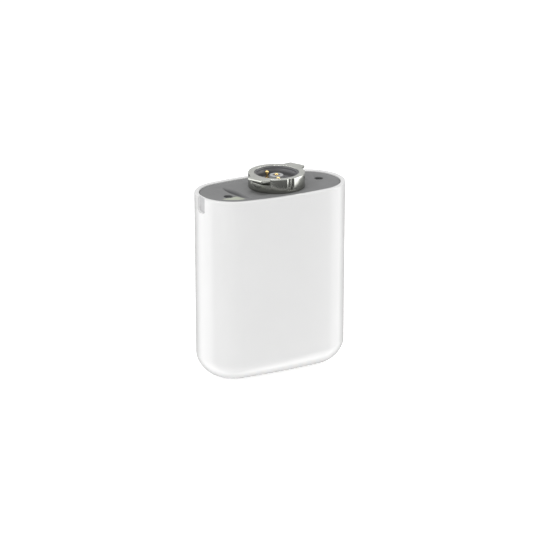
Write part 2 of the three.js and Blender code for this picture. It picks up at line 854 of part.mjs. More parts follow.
// A bead between the cells.
function thermistorBead() {
  const { radius, neck, bottom, top, cap } = thermistor;
  const profile = [
    [0, bottom],
    [neck, bottom + cap],
    [radius, (bottom + top) / 2],
    [neck, top - cap],
    [0, top],
  ];
  return turned(profile, { x: cell.shiftX, y: -cell.rowY / 3 }, 8);
}

// The lead that rises from the lowest tab to the underside of the board.
function risingLead({ x, y }) {
  return drum(leadRadius, cell.bottom, board.bottom - touchGap, { x, y }, 10);
}

// A short lead from the control board up to the contact board.
function headLead(foot, top) {
  const [low, high] = [board.top + fitGap, contactBoard.bottom - fitGap];
  const route = [
    [foot.x, foot.y, low],
    [foot.x, foot.y, low + leadRise],
    [(foot.x + top.x) / 2, (foot.y + top.y) / 2, (low + high) / 2 + fitGap],
    [top.x, top.y, high - leadRise],
    [top.x, top.y, high],
  ];
  return tube(route, leadRadius, 9);
}

// ---- Assembly ----

addNode('housing', housing(), 'shellWhite');
addNode('top_plate', topPlate(), 'plateGrey');
addNode('plate_seal', plateSeal(), 'rubber');
addNode(
  'blank_label',
  labelSheet(0, plateTop - label.recessDepth + touchGap, labelThickness),
  'labelPale',
);
addNode('plate_screw_left', plateScrew(pillars.left), 'steel');
addNode('plate_screw_right', plateScrew(pillars.right), 'steel');

addNode('bayonet_ring', bayonetRing(), 'nickel');
addNode('ring_seal', ringSeal(), 'rubber');
addNode('ring_nut', ringNut(), 'steel');
addNode('insulator_cup', insulatorCup(), 'insulator');
addNode('centre_collar', centreCollar(), 'collarGrey');
addNode('contact_board', contactCircuit(), 'boardGreen');
contacts.forEach((spot) => {
  addNode(`contact_barrel_${spot.name}`, contactBarrel(spot), 'gold');
  addNode(`contact_plunger_${spot.name}`, contactPlunger(spot), 'gold');
  addNode(`contact_spring_${spot.name}`, contactSpring(spot), 'steel');
});

cellSpots.forEach((spot, i) => {
  addNode(`cell_${i + 1}`, batteryCell(spot, i % 2 === 0), 'wrap');
});
addNode('lower_cell_holder', cellHolder(lowerHolderBottom, true), 'holderBlack');
addNode('upper_cell_holder', upperHolder(), 'holderBlack');
addNode('foam_pad', foamPad(), 'foamGrey');

const lowStrip = cell.bottom - strip.lift - strip.thickness;
const highStrip = cell.top + strip.lift;
const [cellA, cellB, cellC, cellD, cellE] = cellSpots;
addNode('link_strip_low_1', linkStrip(cellA, cellB, lowStrip), 'nickel');
addNode('link_strip_low_2', linkStrip(cellC, cellD, lowStrip), 'nickel');
addNode('end_tab_low', linkStrip(cellE, returnLead, lowStrip), 'nickel');
addNode('end_tab_high', linkStrip(cellA, cellA, highStrip), 'nickel');
addNode('link_strip_high_1', linkStrip(cellB, cellC, highStrip), 'nickel');
addNode('link_strip_high_2', linkStrip(cellD, cellE, highStrip), 'nickel');

addNode('control_board', controlBoard(), 'boardGreen');
standoffs.forEach((spot, i) => {
  addNode(`board_screw_${i + 1}`, screwBlank(boardScrew, componentSeat, spot, 12), 'steel');
});
addNode('control_chip', controlChip(), 'chipBlack');
transistorSpots.forEach((spot, i) => {
  addNode(`power_transistor_${i + 1}`, powerTransistor(spot), 'chipBlack');
});
addNode('fuse', fuseBody(), 'ceramic');
addNode('current_shunt', currentShunt(), 'steel');
addNode('capacitor', capacitorCan(), 'steel');
addNode('thermistor', thermistorBead(), 'chipBlack');
addNode('return_lead', risingLead(returnLead), 'leadBlack');
headLeads.forEach(({ name, foot, top, finish }) => {
  addNode(`head_lead_${name}`, headLead(foot, top), finish);
});

export default pack;
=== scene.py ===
"""A rechargeable battery pack with a twist-lock contact head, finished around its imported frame.

Lengths are millimetres, except in the studio; make_object() turns them into the frame's metres.
+X runs along the pack's length, -Y is its front, and its base stands on z = 0.
"""

import math

import bmesh
import bpy
import numpy as np
from mathutils import Matrix, Vector


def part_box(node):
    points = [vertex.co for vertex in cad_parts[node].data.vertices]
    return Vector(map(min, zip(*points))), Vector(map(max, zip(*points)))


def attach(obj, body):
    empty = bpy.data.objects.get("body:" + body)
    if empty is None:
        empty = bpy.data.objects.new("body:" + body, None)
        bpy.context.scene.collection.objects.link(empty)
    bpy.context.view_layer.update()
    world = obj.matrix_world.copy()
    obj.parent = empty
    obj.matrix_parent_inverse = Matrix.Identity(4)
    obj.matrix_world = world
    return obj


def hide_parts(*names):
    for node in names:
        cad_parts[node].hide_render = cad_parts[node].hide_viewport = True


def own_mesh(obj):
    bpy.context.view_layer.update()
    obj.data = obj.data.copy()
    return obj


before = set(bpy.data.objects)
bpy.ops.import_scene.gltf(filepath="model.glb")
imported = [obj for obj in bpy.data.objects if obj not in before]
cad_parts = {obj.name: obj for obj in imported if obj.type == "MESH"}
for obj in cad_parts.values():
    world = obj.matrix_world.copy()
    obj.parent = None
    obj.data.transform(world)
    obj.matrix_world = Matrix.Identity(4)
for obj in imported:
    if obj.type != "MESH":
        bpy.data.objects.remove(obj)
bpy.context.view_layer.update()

MM = 0.001
TAU = 2 * math.pi
QUARTER = math.pi / 2


class Sizes:
    """Named sizes of one feature: millimetres, or degrees for its angles."""

    def __init__(self, **values):
        for name, value in values.items():
            setattr(self, name, value)


def node_box(name):
    """The lowest and highest corners of a CAD node, in millimetres."""
    low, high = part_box(name)
    return low / MM, high / MM


# ---- Driving dimensions, from the frame where a node gives them ----

# What keeps two pieces that rest on each other apart.
GAP = 0.05

HOUSING_HIGH = node_box("housing")[1]
HALF_LENGTH = HOUSING_HIGH.x
HALF_DEPTH = HOUSING_HIGH.y
RIM_TOP = HOUSING_HIGH.z
END_RADIUS = 19.4
END_STEPS = Sizes(reach=9.0, fine=0.075, coarse=0.35, gap=0.03, outer=26)
RIGHT_END_STEPS = 60
LONG_SIDE_STEPS = 40
WALL = 2.4
FLOOR = 2.5
FOOT = Sizes(height=11.6, inset_x=11.1, inset_y=12.5, power=1.75)
CAVITY_FOOT = Sizes(height=9.1, inset_x=9.3, inset_y=10.4, power=1.75)
CAVITY_HEIGHTS = np.linspace(94, 13, 10)
RIM_ROUNDING = 0.55

GROOVE = Sizes(y=-1.6, half_width=3.3, depth=1.6, height=8.0, corner=1.3)
# The colour of the painted shade on the key groove's floor.
GROOVE_PAINTED_SHADE = (0.66, 0.66, 0.67)
GROOVE_EDGE = Sizes(outer=0.3, inner=0.5, band=0.7)
GROOVE_FLOOR = GROOVE.depth - HALF_LENGTH
GROOVE_FOOT = RIM_TOP - GROOVE.height
KEY_PAD = Sizes(half_width=4.8, reach=3.2, bottom=85.5, top=92.2)

PLATE_LOW, PLATE_HIGH = node_box("top_plate")
PLATE_TOP = PLATE_HIGH.z
PLATE_BOTTOM = PLATE_LOW.z
PLATE_INSET = 2.7
PLATE_EDGE = 0.18
SEAL_GROOVE = Sizes(depth=1.0, bottom=93.3, top=94.9)
HEAD_OPENING = 12.5
COUNTERBORE = Sizes(radius=2.3, depth=2.2)
PILOT_RADIUS = 1.35
PILLARS = {"left": (-25.9, -4.8), "right": (28.4, 1.7)}
PILLAR_RADIUS = 2.3
PILLAR_BORE_DEPTH = 12.0
PILLAR_RIB = Sizes(thickness=1.6, bottom=20.0, top=86.5)
SCOOP = Sizes(
    start=160, end=216, outer_start=27.4, outer_end=24.8, width=5.6, depth=2.4, skew=0.7
)
LABEL = Sizes(
    head_arc=26.4, head_start=208, head_end=194.8, end_arc=12.6, end_start=217,
    end_end=270, screw_clear=2.8,
)
LABEL_RECESS = Sizes(gap=0.15, depth=0.25)
LABEL_THICKNESS = 0.15

RING_LOW, RING_HIGH = node_box("bayonet_ring")
HEAD_TOP = RING_HIGH.z
SPIGOT_END = RING_LOW.z
HEAD_X = 3.46
HEAD_AXIS = (HEAD_X, 0)
RING = Sizes(outer=14.2, face=11.2, face_depth=0.8, bore=10.4, spigot=12.3, foot=95.75)
O_RING = Sizes(radius=12.95, section=0.45, groove_outer=13.5, groove_height=0.95)
LUG = Sizes(reach=17.6, half=4.3, corner=0.45, half_angle=24.58, thickness=1.15)
LUG_TURNS = (25, 205)
UNDERCUT = Sizes(radius=13.0, height=1.9, half_angle=24.4)
LUG_BOTTOM = HEAD_TOP - LUG.thickness
LEDGE = LUG_BOTTOM - UNDERCUT.height
RING_ROUNDING = Sizes(foot=0.15, ledge=0.15, lug=0.12, top=0.18, face=0.12)
KEYWAY = Sizes(
    angle=272.75, floor_half=1.1, shoulder_drop=0.4, shoulder_half=1.95, depth=1.0,
    crown=0.32, crown_at=0.35, bottom=97.1, reach=2.8,
)
NUT = Sizes(outer=16.0, bore=12.5, lip=10.6, top=92.4, bottom=89.2, lip_height=1.0)
NUT_NOTCHES = Sizes(count=6, width=3.0, depth=1.4)

CUP = Sizes(outer=10.15, inner=9.4, floor_top=98.0, floor_bottom=95.6)
CUP_LIP = Sizes(outer=11.1, bottom=102.25, top=102.85, inner=10.8, throat=100.6)
SKIRT = Sizes(inner=9.0, bottom=90.4, flange=11.4, flange_top=91.4)
COLLAR = Sizes(outer=3.5, bore=1.8, bottom=98.05, top=101.6)
CONTACT_CIRCLE = 6.5
CONTACT_ANGLES = {"back": 110, "front": -110}
BARREL = Sizes(outer=1.2, bore=0.92, bottom=91.8, bore_bottom=92.4, top=98.8, fit=0.15)
BARREL_FLANGE = Sizes(radius=1.7, bottom=94.6, top=95.4)
PLUNGER = Sizes(shaft=0.62, tail=0.8, tail_bottom=95.4, tail_top=96.0, head=0.95, top=102.4)
SPRING = Sizes(radius=0.6, wire=0.12, bottom=92.55, top=95.25, turns=4)

PLATE_SCREW = Sizes(
    head=2.0, head_height=1.15, shank=1.2, length=10.0, tip=0.8, drive=1.05, drive_depth=0.75
)
BOARD_SCREW = Sizes(
    head=1.5, head_height=1.0, shank=0.75, length=3.6, tip=0.4, drive=0.75, drive_depth=0.6
)
SCREW_SEAT = PLATE_TOP - COUNTERBORE.depth + GAP
STANDOFFS = ((-19.0, -9.5), (8.8, 12.0))
BOARD_TOP = 81.4

CELL = Sizes(radius=9.15, cap=4.0, cap_height=0.9, edge=0.9)


# ---- Mesh building ----

def clean(mesh, merge=False):
    """Turns a mesh's faces outwards, and joins points that coincide if asked to."""
    work = bmesh.new()
    work.from_mesh(mesh)
    if merge:
        bmesh.ops.remove_doubles(work, verts=work.verts, dist=0.001 * MM)
    bmesh.ops.recalc_face_normals(work, faces=work.faces)
    work.to_mesh(mesh)
    work.free()


def linked(name, data):
    """A new object in the scene that holds the data."""
    obj = bpy.data.objects.new(name, data)
    bpy.context.scene.collection.objects.link(obj)
    return obj


def make_object(name, points, faces):
    """A new mesh object from points in millimetres, with its faces turned outwards."""
    mesh = bpy.data.meshes.new(name)
    mesh.from_pydata([(x * MM, y * MM, z * MM) for x, y, z in points], [], faces)
    clean(mesh)
    return linked(name, mesh)


def apply_modifiers(obj):
    graph = bpy.context.evaluated_depsgraph_get()
    graph.update()
    mesh = bpy.data.meshes.new_from_object(obj.evaluated_get(graph))
    obj.modifiers.clear()
    obj.data = mesh


def boolean(obj, operation, tools):
    for tool in tools:
        step = obj.modifiers.new("boolean", "BOOLEAN")
        step.operation = operation
        step.solver = "EXACT"
        step.object = tool
        apply_modifiers(obj)
        bpy.data.objects.remove(tool)
    return obj


def cut(obj, *tools):
    return boolean(obj, "DIFFERENCE", tools)


def join(obj, *tools):
    return boolean(obj, "UNION", tools)


def round_edges(obj, width, segments, angle=35):
    """Bevels every edge that is sharper than the angle, with the width in millimetres."""
    bevel = obj.modifiers.new("rounded edges", "BEVEL")
    bevel.width = width * MM
    bevel.segments = segments
    bevel.limit_method = "ANGLE"
    bevel.angle_limit = math.radians(angle)


def soften(obj, width, segments=2):
    round_edges(obj, width, segments)
    apply_modifiers(obj)


def dress(obj, material, slot, *nodes, body="pack", sharp=38):
    """Shades a finished piece, gives it its material and ties it to the frame."""
    obj.data.materials.clear()
    obj.data.materials.append(material)
    obj.data.shade_smooth()
    obj.data.set_sharp_from_angle(angle=math.radians(sharp))
    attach(obj, body)
    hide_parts(*nodes)


def around(x, y, radius, angle):
    """The point at an angle in radians on a circle."""
    return (x + radius * math.cos(angle), y + radius * math.sin(angle))


def arc(x, y, radius, start, end, steps):
    """Points along an arc, with its angles in degrees."""
    return [around(x, y, radius, a) for a in np.radians(np.linspace(start, end, steps + 1))]


def rounded_profile(corners, closed, steps=5):
    """Replaces each (x, y, rounding) corner by an arc of that radius."""
    count = len(corners)
    points = []
    for i, (x, y, radius) in enumerate(corners):
        here = Vector((x, y))
        if radius == 0 or (not closed and i in (0, count - 1)):
            points.append((x, y))
            continue
        before = (Vector(corners[i - 1][:2]) - here).normalized()
        after = (Vector(corners[(i + 1) % count][:2]) - here).normalized()
        half = before.angle(after) / 2
        centre = here + (before + after).normalized() * radius / math.sin(half)
        reach = radius / math.tan(half)
        first = here + before * reach - centre
        turn = first.angle_signed(here + after * reach - centre)
        for step in range(steps + 1):
            spoke = Matrix.Rotation(-turn * step / steps, 2) @ first
            points.append(tuple(centre + spoke))
    return points


def turned(name, corners, centre, segments):
    """A body of revolution about a vertical axis, from (radius, height, rounding) corners.

    The corners start and end on the axis, or they close on themselves.
    """
    solid = corners[0][0] == 0
    profile = rounded_profile(corners, not solid)
    points, rings = [], []
    for radius, height in profile:
        if radius == 0:
            rings.append([len(points)] * segments)
            points.append((*centre, height))
            continue
        rings.append(list(range(len(points), len(points) + segments)))
        for s in range(segments):
            points.append((*around(*centre, radius, TAU * s / segments), height))
    if not solid:
        rings.append(rings[0])
    return make_object(name, points, skin(rings))


def skin(rings):
    """Quads between neighbouring rings of point numbers, and triangles at a pole."""
    faces = []
    count = len(rings[0])
    for low, high in zip(rings, rings[1:]):
        for i in range(count):
            j = (i + 1) % count
            corners = dict.fromkeys((low[i], low[j], high[j], high[i]))
            if len(corners) > 2:
                faces.append(tuple(corners))
    return faces


def numbered(sections):
    """The points of a stack of outlines in one list, and the numbers of each outline's points."""
    count = len(sections[0])
    points = [tuple(point) for section in sections for point in section]
    return points, [list(range(s * count, (s + 1) * count)) for s in range(len(sections))]


def lofted(name, sections):
    """Skins a stack of closed outlines of [x, y, z] points and closes both ends."""
    points, rings = numbered(sections)
    return make_object(name, points, skin(rings) + [tuple(rings[0]), tuple(rings[-1])])


def looped(name, sections):
    """Skins closed outlines of [x, y, z] points in a ring, the last joined to the first."""
    points, rings = numbered(sections)
    return make_object(name, points, skin(rings + rings[:1]))


def prism(name, outline, bottom, top):
    return lofted(name, [[(x, y, z) for x, y in outline] for z in (bottom, top)])


def drum(name, radius, bottom, top, centre, segments=64):
    return prism(name, arc(*centre, radius, 0, 360, segments)[:-1], bottom, top)


def slab(name, x, y, z):
    return prism(name, [(x[0], y[0]), (x[1], y[0]), (x[1], y[1]), (x[0], y[1])], *z)


def placed(outline, x, y, turn):
    """An outline turned by an angle in degrees and then moved."""
    c, s = math.cos(math.radians(turn)), math.sin(math.radians(turn))
    return [(x + c * u - s * v, y + s * u + c * v) for u, v in outline]


def swept(name, path, radius, sides=16):
    """A round tube along a path of points, closed at both ends."""
    path = [Vector(p) for p in path]
    sections = []
    across = (path[1] - path[0]).orthogonal().normalized()
    for i, here in enumerate(path):
        along = (path[min(i + 1, len(path) - 1)] - path[max(i - 1, 0)]).normalized()
        across = (across - along * across.dot(along)).normalized()
        other = along.cross(across)
        angles = [TAU * s / sides for s in range(sides)]
        spokes = [across * math.cos(angle) + other * math.sin(angle) for angle in angles]
        sections.append([here + spoke * radius for spoke in spokes])
    return lofted(name, sections)


# ---- The housing's plan: four tangent arcs ----

def end_angles():
    """Angles round the left end, closest together where the key groove's edges are."""
    edges = [GROOVE.y + side * GROOVE.half_width for side in (-1, 1)]
    across = [-END_STEPS.reach]
    while across[-1] < END_STEPS.reach:
        gap = min(abs(across[-1] - edge) for edge in edges)
        near = gap < GROOVE_EDGE.band + 0.3
        across.append(across[-1] + (END_STEPS.fine if near else END_STEPS.coarse))
    dense = np.arcsin(-np.array(across[::-1]) / END_RADIUS)
    lean = long_arc(HALF_LENGTH, HALF_DEPTH, END_RADIUS)[1]
    before = np.linspace(-lean, dense[0] - END_STEPS.gap, END_STEPS.outer)
    after = np.linspace(dense[-1] + END_STEPS.gap, lean, END_STEPS.outer)
    return np.concatenate([before, dense, after])


def long_arc(a, b, r):
    """The radius of the long sides, and the angle at which they meet the ends."""
    side = ((a - r) ** 2 + b ** 2 - r ** 2) / (2 * (b - r))
    return side, math.atan2(side - b, a - r)


def plan(a, b, r):
    """Points anticlockwise round the plan, always in the same number and the same order."""
    side, lean = long_arc(a, b, r)
    left = END_SHARES * lean
    right = np.linspace(-lean, lean, RIGHT_END_STEPS + 1)
    long_side = np.linspace(lean, math.pi - lean, LONG_SIDE_STEPS + 1)[1:-1]
    arcs = (
        (a - r, 0, r, right),
        (0, b - side, side, long_side),
        (r - a, 0, r, math.pi + left),
        (0, side - b, side, math.pi + long_side),
    )
    return [around(x, y, radius, t) for x, y, radius, angles in arcs for t in angles]


END_ANGLES = end_angles()
END_SHARES = END_ANGLES / END_ANGLES[-1]


def plan_inset(inset):
    return plan(HALF_LENGTH - inset, HALF_DEPTH - inset, END_RADIUS - inset)


def levels(steps):
    """Outlines of the plan from (inset, height) steps."""
    return [[(x, y, z) for x, y in plan_inset(inset)] for inset, z in steps]


def foot_sections(inset, bottom, foot, steps=26):
    """Outlines that grow from the flat base to the full plan round a rounded foot."""
    a, b, r = HALF_LENGTH - inset, HALF_DEPTH - inset, END_RADIUS - inset
    sections = []
    for angle in np.linspace(QUARTER, 0, steps + 1):
        narrowing = 1 - max(math.cos(angle), 0) ** (2 / foot.power)
        z = bottom + foot.height * (1 - math.sin(angle) ** (2 / foot.power))
        depth = b - foot.inset_y * narrowing
        outline = plan(a - foot.inset_x * narrowing, depth, r * depth / b)
        sections.append([(x, y, z) for x, y in outline])
    return sections


# ---- Housing ----

def edge_profile():
    """The key groove's edge as (sideways, share of depth), from the outside wall to its floor."""
    outer, inner, band = GROOVE_EDGE.outer, GROOVE_EDGE.inner, GROOVE_EDGE.band
    depth = GROOVE.depth
    quarter = np.linspace(0, QUARTER, 9)
    over = [(-outer + outer * math.sin(t), outer * (1 - math.cos(t))) for t in quarter]
    under = [(inner * (1 - math.cos(t)), depth - inner * (1 - math.sin(t))) for t in quarter]
    line = np.array([(-band, 0), *over, *under, (band, depth)])
    run = np.concatenate([[0], np.cumsum(np.linalg.norm(np.diff(line, axis=0), axis=1))])
    return run / run[-1], line[:, 0], line[:, 1] / depth


EDGE_RUN, EDGE_ASIDE, EDGE_DEPTH = edge_profile()


def grooved(point):
    """Moves a point of the outer wall into the key groove."""
    x, y, z = point
    band, corner = GROOVE_EDGE.band, GROOVE.corner
    if x > 0:
        return point
    beside = abs(y - GROOVE.y) - GROOVE.half_width + corner
    below = GROOVE_FOOT - z + corner
    if beside > 0 and below > 0:
        outside = math.hypot(beside, below)
        away = (beside / outside, below / outside)
    else:
        outside = max(beside, below)
        away = (1, 0) if beside > below else (0, 1)
    inside = corner - outside
    if inside <= -band:
        return point
    share = min((inside + band) / (2 * band), 1)
    aside = max(np.interp(share, EDGE_RUN, EDGE_ASIDE), inside if inside > band else -band)
    shift = inside - aside if inside < band else 0
    y += math.copysign(away[0] * shift, y - GROOVE.y)
    z -= away[1] * shift
    wall_x = END_RADIUS - HALF_LENGTH - math.sqrt(END_RADIUS ** 2 - y ** 2)
    sunk = np.interp(share, EDGE_RUN, EDGE_DEPTH)
    return (wall_x + sunk * (GROOVE_FLOOR - wall_x), y, z)


def wall_heights():
    edge, band = GROOVE_FOOT, GROOVE_EDGE.band
    return np.concatenate([
        np.linspace(FOOT.height, edge - band - 1, 12)[1:],
        np.arange(edge - band - 0.6, edge - band, 0.3),
        np.arange(edge - band, edge + band, 0.08),
        np.arange(edge + band, RIM_TOP - RIM_ROUNDING - 0.3, 0.5),
    ])


def rim_sections(outer, inner):
    """Rounds the rim over from the outer wall to the inner one, thinner where the groove is."""
    sections = []
    outer, inner = np.array(outer), np.array(inner)
    across = inner - outer
    thickness = np.linalg.norm(across, axis=1)
    across /= thickness[:, None]
    rounding = np.minimum(RIM_ROUNDING, 0.42 * thickness)
    for wall, inwards, start, end in ((outer, across, 0, QUARTER), (inner, -across, QUARTER, 0)):
        for angle in np.linspace(start, end, 7):
            place = wall + inwards * (rounding * (1 - math.cos(angle)))[:, None]
            sections.append(np.column_stack([place, RIM_TOP - rounding * (1 - math.sin(angle))]))
    return sections


def build_housing(material):
    outline = plan_inset(0)
    sections = foot_sections(0, 0, FOOT)
    for z in wall_heights():
        sections.append([grooved((x, y, z)) for x, y in outline])
    outer = [grooved((x, y, RIM_TOP))[:2] for x, y in outline]
    sections += rim_sections(outer, plan_inset(WALL))
    sections += levels((WALL, z) for z in CAVITY_HEIGHTS)
    sections += foot_sections(WALL, FLOOR, CAVITY_FOOT)[::-1]
    housing = lofted("housing_shell", sections)
    join(housing, *pillars(), key_pad())
    bores = [
        drum("bore", PILOT_RADIUS, PLATE_BOTTOM - PILLAR_BORE_DEPTH, PLATE_BOTTOM, spot)
        for spot in PILLARS.values()
    ]
    cut(housing, *bores)
    dress(housing, material, "housing_white", "housing", sharp=50)


def pillars():
    pieces = []
    top = PLATE_BOTTOM - 0.3
    for x, y in PILLARS.values():
        pieces.append(drum("pillar", PILLAR_RADIUS, FLOOR - 1, top, (x, y)))
        wall_x = math.copysign(HALF_LENGTH - WALL / 2, x)
        half = PILLAR_RIB.thickness / 2
        heights = (PILLAR_RIB.bottom, PILLAR_RIB.top)
        pieces.append(slab("rib", sorted((x, wall_x)), (y - half, y + half), heights))
    return pieces


def key_pad():
    inner = KEY_PAD.reach - HALF_LENGTH
    x = (WALL / 2 + 0.9 - HALF_LENGTH, inner)
    y = (GROOVE.y - KEY_PAD.half_width, GROOVE.y + KEY_PAD.half_width)
    return slab("pad", x, y, (KEY_PAD.bottom, KEY_PAD.top))


# ---- Top plate, seals, screws and label ----

def scoop_tool(steps=56):
    """The crescent scoop's cutter, steep on its outer side, with a floor that rises inwards."""
    sections = []
    for share in np.linspace(0, 1, steps + 1):
        turn = math.radians(SCOOP.start + share * (SCOOP.end - SCOOP.start))
        fullness = 0.02 + 0.98 * math.sin(math.pi * share ** SCOOP.skew)
        outer = SCOOP.outer_start + share * (SCOOP.outer_end - SCOOP.outer_start)
        inner = outer - SCOOP.width * fullness
        low = PLATE_TOP - SCOOP.depth * fullness
        corners = [
            (inner - 0.6 * fullness, PLATE_TOP + 1, 0),
            (outer, PLATE_TOP + 1, 0),
            (outer, low, 0.5 * fullness),
            (inner, PLATE_TOP - 0.02, 2.0 * fullness),
        ]
        section = rounded_profile(corners, True, 6)
        sections.append([(*around(*HEAD_AXIS, r, turn), z) for r, z in section])
    return lofted("scoop", sections)


def label_outline(grow):
    turn = math.degrees(grow / LABEL.end_arc)
    start, end = LABEL.end_start - turn, LABEL.end_end + turn
    near = arc(END_RADIUS - HALF_LENGTH, 0, LABEL.end_arc + grow, start, end, 32)
    start, end = LABEL.head_start, LABEL.head_end - turn
    far = arc(*HEAD_AXIS, LABEL.head_arc - grow, start, end, 24)
    return near + far


def label_sheet(name, grow, bottom, top):
    """The label's shape, which keeps clear of the left screw's recess."""
    sheet = prism(name, label_outline(grow), bottom, top)
    clear = LABEL.screw_clear - grow
    return cut(sheet, drum("clear", clear, bottom - 1, top + 1, PILLARS["left"]))


def plate_sections():
    groove_inset = PLATE_INSET + SEAL_GROOVE.depth
    steps = [
        (PLATE_INSET + PLATE_EDGE, PLATE_BOTTOM),
        (PLATE_INSET, PLATE_BOTTOM + PLATE_EDGE),
        (PLATE_INSET, SEAL_GROOVE.bottom),
        (groove_inset, SEAL_GROOVE.bottom),
        (groove_inset, SEAL_GROOVE.top),
        (PLATE_INSET, SEAL_GROOVE.top),
    ]
    for angle in np.linspace(0, QUARTER, 6):
        inset = PLATE_INSET + PLATE_EDGE * (1 - math.cos(angle))
        steps.append((inset, PLATE_TOP - PLATE_EDGE * (1 - math.sin(angle))))
    return levels(steps)


def build_top_plate(material):
    plate = lofted("top_plate_finished", plate_sections())
    tools = [drum("opening", HEAD_OPENING, PLATE_BOTTOM - 1, PLATE_TOP + 1, HEAD_AXIS, 128)]
    for spot in PILLARS.values():
        low = PLATE_TOP - COUNTERBORE.depth
        tools.append(drum("counterbore", COUNTERBORE.radius, low, PLATE_TOP + 1, spot, 64))
        tools.append(drum("pilot", PILOT_RADIUS, PLATE_BOTTOM - 1, PLATE_TOP, spot, 48))
    low = PLATE_TOP - LABEL_RECESS.depth
    recess = label_sheet("recess", LABEL_RECESS.gap, low, PLATE_TOP + 1)
    cut(plate, *tools, scoop_tool(), recess)
    soften(plate, 0.14, 3)
    dress(plate, material, "plate_grey", "top_plate")


def build_plate_seal(material):
    low, high = SEAL_GROOVE.bottom + GAP, SEAL_GROOVE.top - GAP
    inner = PLATE_INSET + SEAL_GROOVE.depth - GAP
    outer = WALL + GAP
    corners = ((inner, low, 0.2), (outer, low, 0.5), (outer, high, 0.5), (inner, high, 0.2))
    seal = looped("plate_seal_finished", levels(rounded_profile(corners, True)))
    dress(seal, material, "seal_rubber", "plate_seal")


def build_ring_seal(material):
    cord = O_RING.section
    circle = arc(O_RING.radius, PLATE_TOP + GAP + cord, cord, 0, 360, 20)[:-1]
    seal = turned("ring_seal_finished", [(r, z, 0) for r, z in circle], HEAD_AXIS, 128)
    dress(seal, material, "seal_rubber", "ring_seal")


def build_label(material):
    low = PLATE_TOP - LABEL_RECESS.depth + GAP
    label = label_sheet("blank_label_finished", 0, low, low + LABEL_THICKNESS)
    soften(label, 0.05)
    dress(label, material, "label_pale", "blank_label")


def screw(name, size, seat, spot):
    """A pan-headed screw with a domed top and a thread down its shank."""
    head, shank = size.head, size.shank
    top, end = seat + size.head_height, seat - size.length
    corners = [(0, end, 0), (shank * 0.45, end, 0), (shank * 0.86, end + size.tip, 0)]
    pitch = shank * 0.7
    z = end + size.tip
    while z + 2 * pitch < seat:
        corners += [(shank, z + pitch * 0.5, 0), (shank * 0.84, z + pitch, 0)]
        z += pitch
    corners += [
        (shank * 0.9, seat, 0),
        (head, seat, 0.08),
        (head, top - 0.35, 0.3),
        (head * 0.72, top, 0.5),
        (0, top, 0),
    ]
    return turned(name, corners, spot, 64)


def star_outline(radius, spot, depth_share=0.24, steps=60):
    """A six-lobed drive recess."""
    outline = []
    for t in np.linspace(0, TAU, steps, endpoint=False):
        reach = radius * (1 - depth_share * (0.5 - 0.5 * math.cos(6 * t)))
        outline.append(around(*spot, reach, t))
    return outline


def build_screw(name, node, size, seat, spot, material):
    """A finished screw with a star drive sunk into its head."""
    piece = screw(name, size, seat, spot)
    top = seat + size.head_height
    drive = prism("drive", star_outline(size.drive, spot), top - size.drive_depth, top + 1)
    dress(cut(piece, drive), material, "steel", node)


def build_screws(material):
    for side, spot in PILLARS.items():
        node = f"plate_screw_{side}"
        build_screw(f"screw_{side}", node, PLATE_SCREW, SCREW_SEAT, spot, material)
    for i, spot in enumerate(STANDOFFS, 1):
        node = f"board_screw_{i}"
        build_screw(f"{node}_finished", node, BOARD_SCREW, BOARD_TOP + GAP, spot, material)


# ---- Contact head ----

def densified(points, spacing):
    """Adds points along the straight parts of an open outline."""
    result = [points[0]]
    for (x0, y0), (x1, y1) in zip(points, points[1:]):
        along, across = x1 - x0, y1 - y0
        parts = max(1, math.ceil(math.hypot(along, across) / spacing))
        for i in range(1, parts + 1):
            result.append((x0 + along * i / parts, y0 + across * i / parts))
    return result


def polar(points):
    """(degrees, radius) of each point, in order of angle."""
    return sorted((math.degrees(math.atan2(y, x)), math.hypot(x, y)) for x, y in points)


def on_circle(radius, degrees):
    return around(0, 0, radius, math.radians(degrees))


def lug_columns(turn):
    """Columns of the ring across a lug: (degrees, side radius, undercut radius, top radius)."""
    outer, limit = RING.outer, LUG.half_angle
    corners = (
        (*on_circle(outer, limit), 0),
        (LUG.reach, LUG.half, LUG.corner),
        (LUG.reach, -LUG.half, LUG.corner),
        (*on_circle(outer, -limit), 0),
    )
    outline = polar(densified(rounded_profile(corners, False, 8), 0.6))
    angles, radii = zip(*outline)
    step = UNDERCUT.half_angle
    columns = []
    for t in sorted({*angles, -step, step}):
        under = UNDERCUT.radius if abs(t) <= step else outer
        columns.append((turn + t, outer, under, np.interp(t, angles, radii)))
    return columns


def crowned(points, floor):
    """Raises the floor of the keyway into a low crown to the right of its middle."""
    half, top = KEYWAY.floor_half - 0.1, KEYWAY.crown_at
    result = []
    for x, y in points:
        if abs(x - floor) < 0.01 and abs(y) < half:
            x += KEYWAY.crown * (1 - ((y - top) / (half - math.copysign(top, y - top))) ** 2)
        result.append((x, y))
    return result


def keyway_columns():
    """Columns across the keyway: a narrow channel with wide shallow shoulders."""
    outer, floor = RING.outer, RING.outer - KEYWAY.depth
    reach = math.degrees(KEYWAY.reach / outer)
    shoulder = math.degrees(math.asin(KEYWAY.shoulder_half / outer))
    half = [
        (*on_circle(outer, reach), 0),
        (*on_circle(outer, shoulder), 0),
        (outer - KEYWAY.shoulder_drop, KEYWAY.floor_half + 0.1, 0.12),
        (floor, KEYWAY.floor_half, 0.15),
    ]
    corners = half + [(x, -y, rounding) for x, y, rounding in half[::-1]]
    outline = polar(crowned(densified(rounded_profile(corners, False, 6), 0.2), floor))
    return [(KEYWAY.angle + t, *[min(r, outer)] * 3) for t, r in outline]


